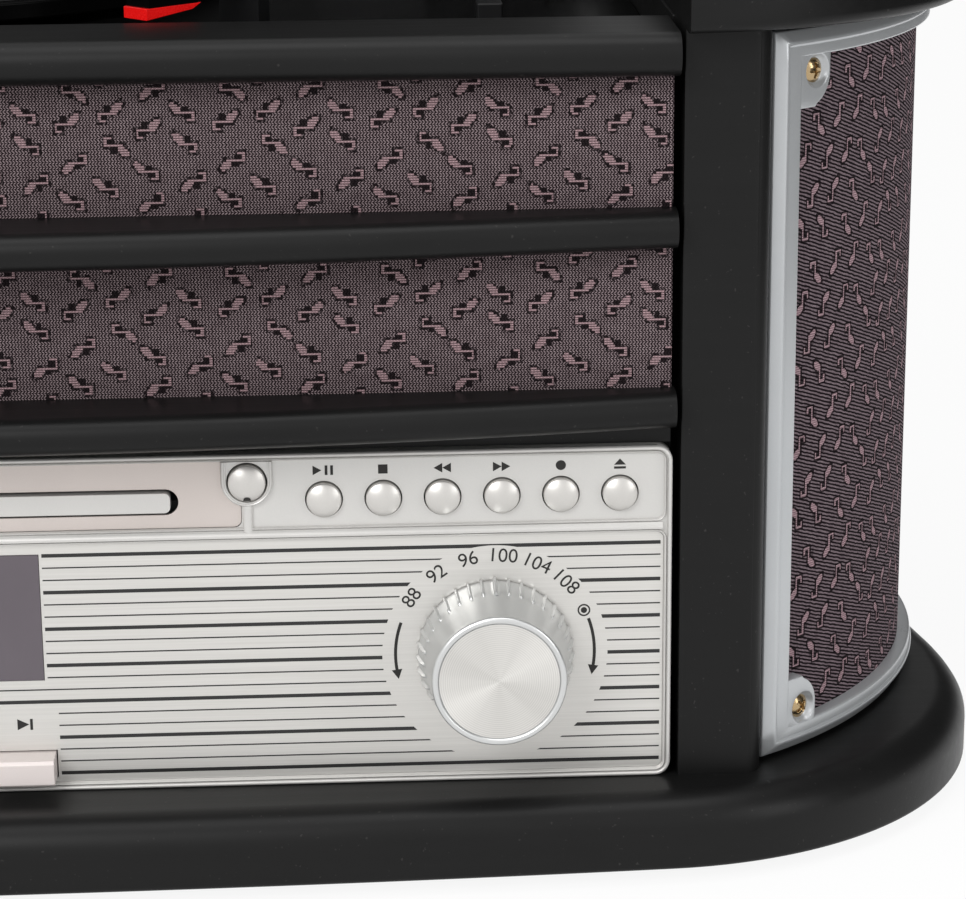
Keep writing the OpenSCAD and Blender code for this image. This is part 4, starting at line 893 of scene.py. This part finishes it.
def rib(x):
    """A half-round rib from the bezel down to the divider: half width w, height 0.9 w, round at its foot."""
    top, foot, w = DOME_Z - 6.2, 86.6, 1.35
    turn = np.linspace(0, math.pi / 2, 9)
    z = np.concatenate([[top, top - 2.0], foot + w - w * np.sin(turn)])
    half = np.concatenate([[w, w], w * np.cos(turn)])
    half[-1] = 0.02
    a = np.linspace(0, math.pi, 15)
    across = np.concatenate([np.cos(a), [-1, 1]])
    rise = np.concatenate([0.9 * np.sin(a), [0, 0]])
    base = np.concatenate([np.zeros(15), [0.2, 0.2]])
    return skin([xyz(x + h * across, base - h * rise, q) for q, h in zip(z, half)])


edge_ring = moulding(-PANEL_X, PANEL_X, PANEL_Z0, PANEL_Z1, 4.0, [
    (0, -0.2), (0, 0.9), (0.1, 1.25), (0.3, 1.5), (0.6, 1.6), (0.9, 1.5), (1.08, 1.2), (1.15, 0.8),
    (1.15, -0.2)])
upper_ring = moulding(-FIELD_X, FIELD_X, UPPER_Z0, ROUND_END, 2.0, [
    (-0.62, -0.2), (-0.6, 0.55), (-0.45, 0.8), (-0.3, 0.9), (-0.15, 0.8), (0.0, 0.5), (0.02, -0.2)])
lower_ring = moulding(-FIELD_X, FIELD_X, PANEL_Z0 + 2.0, LOWER_Z1, 2.0, [
    (-0.65, -0.2), (-0.63, 0.95), (-0.5, 1.12), (-0.3, 1.05), (0.0, 0.3), (0.02, -0.2)])
divider = swept([(-188.6, 0, 0, 1), (188.6, 0, 0, 1)], [
    (86.2, -0.2), (86.2, 1.2), (86.35, 1.5), (86.7, 1.6), (87.2, 1.45), (87.7, 0.95), (88.0, 0.7),
    (88.02, -0.2)])
place(panel_plate(), SILVER, replaces=["control_panel"])
mouldings = joined([edge_ring, upper_ring, lower_ring, divider] + [
    make(side * DOME_X) for side in (1, -1) for make in (bezel, bezel_plate, rib)])
place(build("panel_mouldings", mouldings, 45), SILVER, replaces=["control_panel"])


# Buttons

def button_surface(x, z, d, proud):
    """A domed button turned about its axis: a sphere's cap of radius 0.9 d, its edge rounded."""
    ball = 0.9 * d
    r = np.linspace(0, d / 2 - 0.35, 14)
    cap = np.stack([r, ball - np.sqrt(ball ** 2 - r ** 2) - proud], -1)
    edge = cap[-1, 1]
    side = [[d / 2 - 0.15, edge + 0.12], [d / 2 - 0.03, edge + 0.35], [d / 2, edge + 0.7], [d / 2, 3.0],
            [d / 2, 4.4], [0, 4.4]]
    return turned(np.concatenate([cap, side]), x, z, 48)


RIGHT_BUTTONS = ("play_button", "stop_button", "search_back_button", "search_forward_button",
                 "record_button", "tray_button")
LEFT_BUTTONS = ("source_button", "program_button", "tone_button")
places = [(name, side * (BUTTON_X + i * BUTTON_STEP), BUTTON_Z, 8.9, 2.6)
          for side, names in ((1, RIGHT_BUTTONS), (-1, LEFT_BUTTONS)) for i, name in enumerate(names)]
domes = [("right_dome_button", DOME_X), ("left_dome_button", -DOME_X)]
for name, x, z, d, proud in places + [(name, x, DOME_Z, 9.5, 3.4) for name, x in domes]:
    place(build(name + "_turned", button_surface(x, z, d, proud)), BUTTON_SILVER, name + "_body", [name])
for name, x in domes:
    # A dark half-round mark at the domed button's lower edge: painted shade standing in for a notch there,
    # laid on as a flat dark plate
    painted_notch_shade = slab(arc(x, DOME_Z - 4.35, 0.95, 0, 180, 12), -2.75, -1.2)
    place(build(name + "_notch", painted_notch_shade, 20), INK, name + "_body", [name], "button_silver")


# Dials

def dial_surface(x):
    """Dial body on a polar grid. At the 36 ribs each ring of the profile moves out by its rise and
    forward by its bead, and by more at the pointer on top."""
    profile = np.array([
        # radius, height in front of the panel, rise of the ribs, bead
        [3.0, 0.6, 0, 0], [18.9, 0.6, 0, 0], [19.7, 0.7, 0.2, 0], [19.85, 1.1, 0.6, 0], [19.65, 2.4, 0.72, 0],
        [19.3, 4.2, 0.75, 0], [18.98, 5.8, 0.75, 0], [18.8, 6.7, 0.72, 0.1], [18.65, 7.2, 0.6, 0.35],
        [18.55, 7.6, 0.35, 0.5], [18.45, 8.0, 0.08, 0.3], [18.38, 8.4, 0, 0], [18.1, 10.0, 0, 0],
        [17.6, 14.0, 0, 0], [17.2, 18.6, 0, 0], [17.12, 20.6, 0, 0], [17.02, 21.2, 0, 0], [16.75, 21.6, 0, 0],
        [16.3, 21.78, 0, 0], [15.8, 21.78, 0, 0], [15.5, 21.6, 0, 0], [15.35, 21.2, 0, 0], [15.2, 21.1, 0, 0],
        [15.1, 21.3, 0, 0]])
    ribs, steps_per_rib = 36, 20
    a = whole_turn(ribs * steps_per_rib)
    wave = np.clip((np.cos(ribs * (a - math.pi / 2)) - 0.72) / 0.2, 0, 1)
    lump = np.exp(-((a - math.pi / 2) / 0.035) ** 2)
    r = profile[:, :1] + profile[:, 2:3] * (wave + 0.9 * lump)
    h = profile[:, 1:2] + profile[:, 3:] * (wave + 1.6 * lump)
    return skin(around(x, KNOB_Z, r, a, -h))


def dial_face(x):
    """The turned disc: radius 0 to 15.15, very slightly domed; its UV is (angle turned, radius)."""
    face_r = 15.15
    r = np.linspace(0.02, face_r, 34)[:, None]
    a = np.linspace(0, 2 * math.pi, 145)[None, :]
    points = around(x, KNOB_Z, r, a, -21.35 - 0.1 * (1 - (r / face_r) ** 2))
    uv = np.stack([FACE_UV_R * a + 0 * r, r + 0 * a], -1)
    return (points.reshape(-1, 3), [q[::-1] for q in ring_quads(34, 145, False)]), uv.reshape(-1, 2)


for name, x, body in (("tuning_knob", KNOB_X, "tuning_dial"), ("volume_knob", -KNOB_X, "volume_dial")):
    place(build(name + "_turned", dial_surface(x), 40), DIAL_SILVER, body, [name])
    face, threads = dial_face(x)
    place(build(name + "_face", face, weld=False, uv=threads), SPUN, body, [name])


# Printed signs: thin plates on the panel's face

def triangle(x, z, w, h, way):
    return slab([[x - way * w / 2, z - h / 2], [x + way * w / 2, z], [x - way * w / 2, z + h / 2]])


def oblong(x, z, w, h):
    x0, x1, z0, z1 = x - w / 2, x + w / 2, z - h / 2, z + h / 2
    return slab([[x0, z0], [x1, z0], [x1, z1], [x0, z1]])


def disc(x, z, r):
    return slab(arc(x, z, r, 0, 345, 23))


SIGN_Z, SIGN_H = 103.4, 2.5
play, stop, back, forward, record, eject = (BUTTON_X + i * BUTTON_STEP for i in range(6))
signs = [triangle(play - 1.6, SIGN_Z, 2.2, SIGN_H, 1), oblong(play + 0.7, SIGN_Z, 0.7, SIGN_H),
         oblong(play + 2.1, SIGN_Z, 0.7, SIGN_H), oblong(stop, SIGN_Z, 2.4, 2.4)]
for x, way in (back, -1), (forward, 1):
    signs += [triangle(x - 1.1, SIGN_Z, 2.2, SIGN_H, way), triangle(x + 1.1, SIGN_Z, 2.2, SIGN_H, way)]
signs += [disc(record, SIGN_Z, 1.3),
          slab([[eject - 1.5, SIGN_Z - 0.2], [eject + 1.5, SIGN_Z - 0.2], [eject, SIGN_Z + 1.4]]),
          oblong(eject, SIGN_Z - 0.95, 3.0, 0.6)]
place(build("button_signs", joined(signs), 20), INK)


def turn_arrow(side):
    """A curved arrow beside the dial: a band from 70 to 99 degrees from the top, and a triangle."""
    inner, outer, tip = 25.2, 26.0, 2.6
    a = np.radians(90 - side * np.linspace(70, 99, 20))
    ring = [np.stack([KNOB_X + r * np.cos(a), KNOB_Z + r * np.sin(a)], -1) for r in (outer, inner)]
    out = np.array([math.cos(a[-1]), math.sin(a[-1])])
    down = np.array([out[1], -out[0]]) * side
    middle = np.array([KNOB_X, KNOB_Z]) + (inner + outer) / 2 * out
    head = [middle + out * 1.35, middle - out * 1.35, middle + down * tip]
    return [slab(np.concatenate([ring[0], ring[1][::-1]])), slab(head)]


def hoop(x, z, r0, r1):
    """A flat ring between two radii."""
    a = whole_turn(32)
    section = (r0, 0.02), (r0, -0.05), (r1, -0.05), (r1, 0.02), (r0, 0.02)
    return skin([around(x, z, r, a, y) for r, y in section], caps=False)


MARK_X, MARK_Z, KEY_SIGN_Z = KNOB_X + 22.9, KNOB_Z + 11.0, 37.0
dial_marks = turn_arrow(1) + turn_arrow(-1) + [hoop(MARK_X, MARK_Z, 1.25, 1.65), disc(MARK_X, MARK_Z, 0.8)]
for side in (1, -1):
    dial_marks += [triangle(side * 24.2, KEY_SIGN_Z, 3.0, 3.0, side),
                   oblong(side * 26.3, KEY_SIGN_Z, 0.7, 3.0)]
place(build("dial_arrows", joined(dial_marks), 20), INK)


def numeral(text, x, z, size, turn):
    """A plain number as a mesh, turned by turn degrees about its foot and laid on the panel's face."""
    curve = bpy.data.curves.new("numeral_" + text, "FONT")
    curve.body = text
    curve.size = size
    curve.align_x = "CENTER"
    curve.extrude = 0.03
    holder = add_object("numeral_" + text, curve)
    bpy.context.view_layer.update()
    mesh = bpy.data.meshes.new_from_object(holder)
    bpy.data.objects.remove(holder)
    across, up, out = coords(mesh).T
    c, s = math.cos(math.radians(turn)), math.sin(math.radians(turn))
    points = xyz(x + across * c - up * s, -0.02 - out, z + across * s + up * c)
    return points, [list(p.vertices) for p in mesh.polygons]


NUMBER_R = 24.6
numbers = []
for k, text in enumerate(("88", "92", "96", "100", "104", "108")):
    from_top = -54.0 + 19.6 * k
    a = math.radians(90 - from_top)
    x, z = KNOB_X + NUMBER_R * math.cos(a), KNOB_Z + NUMBER_R * math.sin(a)
    numbers.append(numeral(text, x, z, 5.2, -from_top))
place(build("dial_numbers", joined(numbers), 20), INK)


# Studio

def seen_directly(t):
    """1 for rays from the camera, from a reflection or through a clear piece, else 0."""
    path = t.add("ShaderNodeLightPath").outputs
    return t.most(t.most(path["Is Camera Ray"], path["Is Glossy Ray"]), path["Is Transmission Ray"])


def stage_plane(name, corners, **sockets):
    """A flat thing of the studio, and its material's Tree."""
    plane = add_object(name, new_mesh(name, corners, [(0, 1, 2, 3)]))
    t = new_material(name, **sockets)
    plane.data.materials.append(t.material)
    return plane, t


def make_floor():
    """A pale floor under the feet, lit softly, nearly white to the camera and in reflections."""
    size, seen_share = 12.0, 0.9
    corners = [(-size, -size, 0), (size, -size, 0), (size, size, 0), (-size, size, 0)]
    _, t = stage_plane("floor", corners, base_color=(0.92, 0.92, 0.92, 1), roughness=0.9)
    lit = t.tree.nodes["Principled BSDF"].outputs[0]
    white = t.add("ShaderNodeEmission", {"Color": (1, 1, 1, 1), "Strength": 1.0}).outputs[0]
    seen = t.times(seen_directly(t), seen_share)
    blend = t.add("ShaderNodeMixShader", {0: seen, 1: lit, 2: white})
    t.feed(t.tree.nodes["Material Output"].inputs[0], blend.outputs[0])


def dark_card(name, corners, shade=0.02):
    """A dark card that shows only in reflections, as in a product studio."""
    card, _ = stage_plane(name, corners, base_color=(shade, shade, shade, 1))
    card.visible_camera = card.visible_diffuse = card.visible_shadow = card.visible_transmission = False


def area_light(name, place_at, aim, size, power):
    light = bpy.data.lights.new(name, "AREA")
    light.shape = "RECTANGLE"
    light.size, light.size_y = size
    light.energy = power
    obj = add_object(name, light)
    obj.location = place_at
    obj.rotation_euler = Vector(np.subtract(aim, place_at)).to_track_quat("-Z", "Y").to_euler()


def make_world():
    """White where it is seen, and dimmer as a light."""
    world = bpy.data.worlds.new("Studio")
    bpy.context.scene.world = world
    world.use_nodes = True
    t = Tree(world.node_tree)
    background = world.node_tree.nodes["Background"].inputs
    t.feed(background[0], (1, 1, 1, 1))
    t.feed(background[1], t.spread(seen_directly(t), 0.0, 1.0, 0.56, 1.0))


def make_camera():
    """The photograph's camera, as found from the rows of the control panel."""
    place_at = 0.10946, -0.90683, 0.32223
    az, el, roll = (math.radians(v) for v in (-2.6544, 16.1766, -0.488))
    right = np.array([math.cos(az), math.sin(az), 0])
    back = np.array([math.sin(az) * math.cos(el), -math.cos(az) * math.cos(el), math.sin(el)])
    up = np.cross(back, right)
    r = math.cos(roll) * right + math.sin(roll) * up
    u = -math.sin(roll) * right + math.cos(roll) * up
    data = bpy.data.cameras.new("Camera")
    data.lens = 111.57
    data.sensor_width = 36
    data.clip_start = 0.05
    camera = add_object("Camera", data)
    camera.matrix_world = Matrix(np.vstack([np.column_stack([r, u, back, place_at]), [0, 0, 0, 1]]).tolist())
    bpy.context.scene.camera = camera


make_floor()
dark_card("card_right", [(0.75, -0.55, 0.01), (0.75, 1.6, 0.01), (0.75, 1.6, 1.3), (0.75, -0.55, 1.3)])
dark_card("card_right_low", [(0.8, -0.6, 0.004), (2.6, -1.2, 0.004), (2.6, 1.6, 0.004), (0.8, 1.6, 0.004)])
dark_card("card_back", [(-3.0, 1.7, 0.0), (3.0, 1.7, 0.0), (3.0, 1.7, 1.5), (-3.0, 1.7, 1.5)], 0.3)
area_light("softbox_left", (-1.1, -1.9, 1.5), (0.05, -0.1, 0.12), (1.3, 1.1), 37)
area_light("softbox_top", (0.1, -0.5, 2.3), (0.05, 0.0, 0.15), (1.6, 1.2), 12)
area_light("fill_right", (1.9, -1.3, 0.8), (0.1, 0.0, 0.15), (1.0, 1.2), 13)
make_world()
make_camera()
bpy.context.scene.view_settings.view_transform = "Standard"
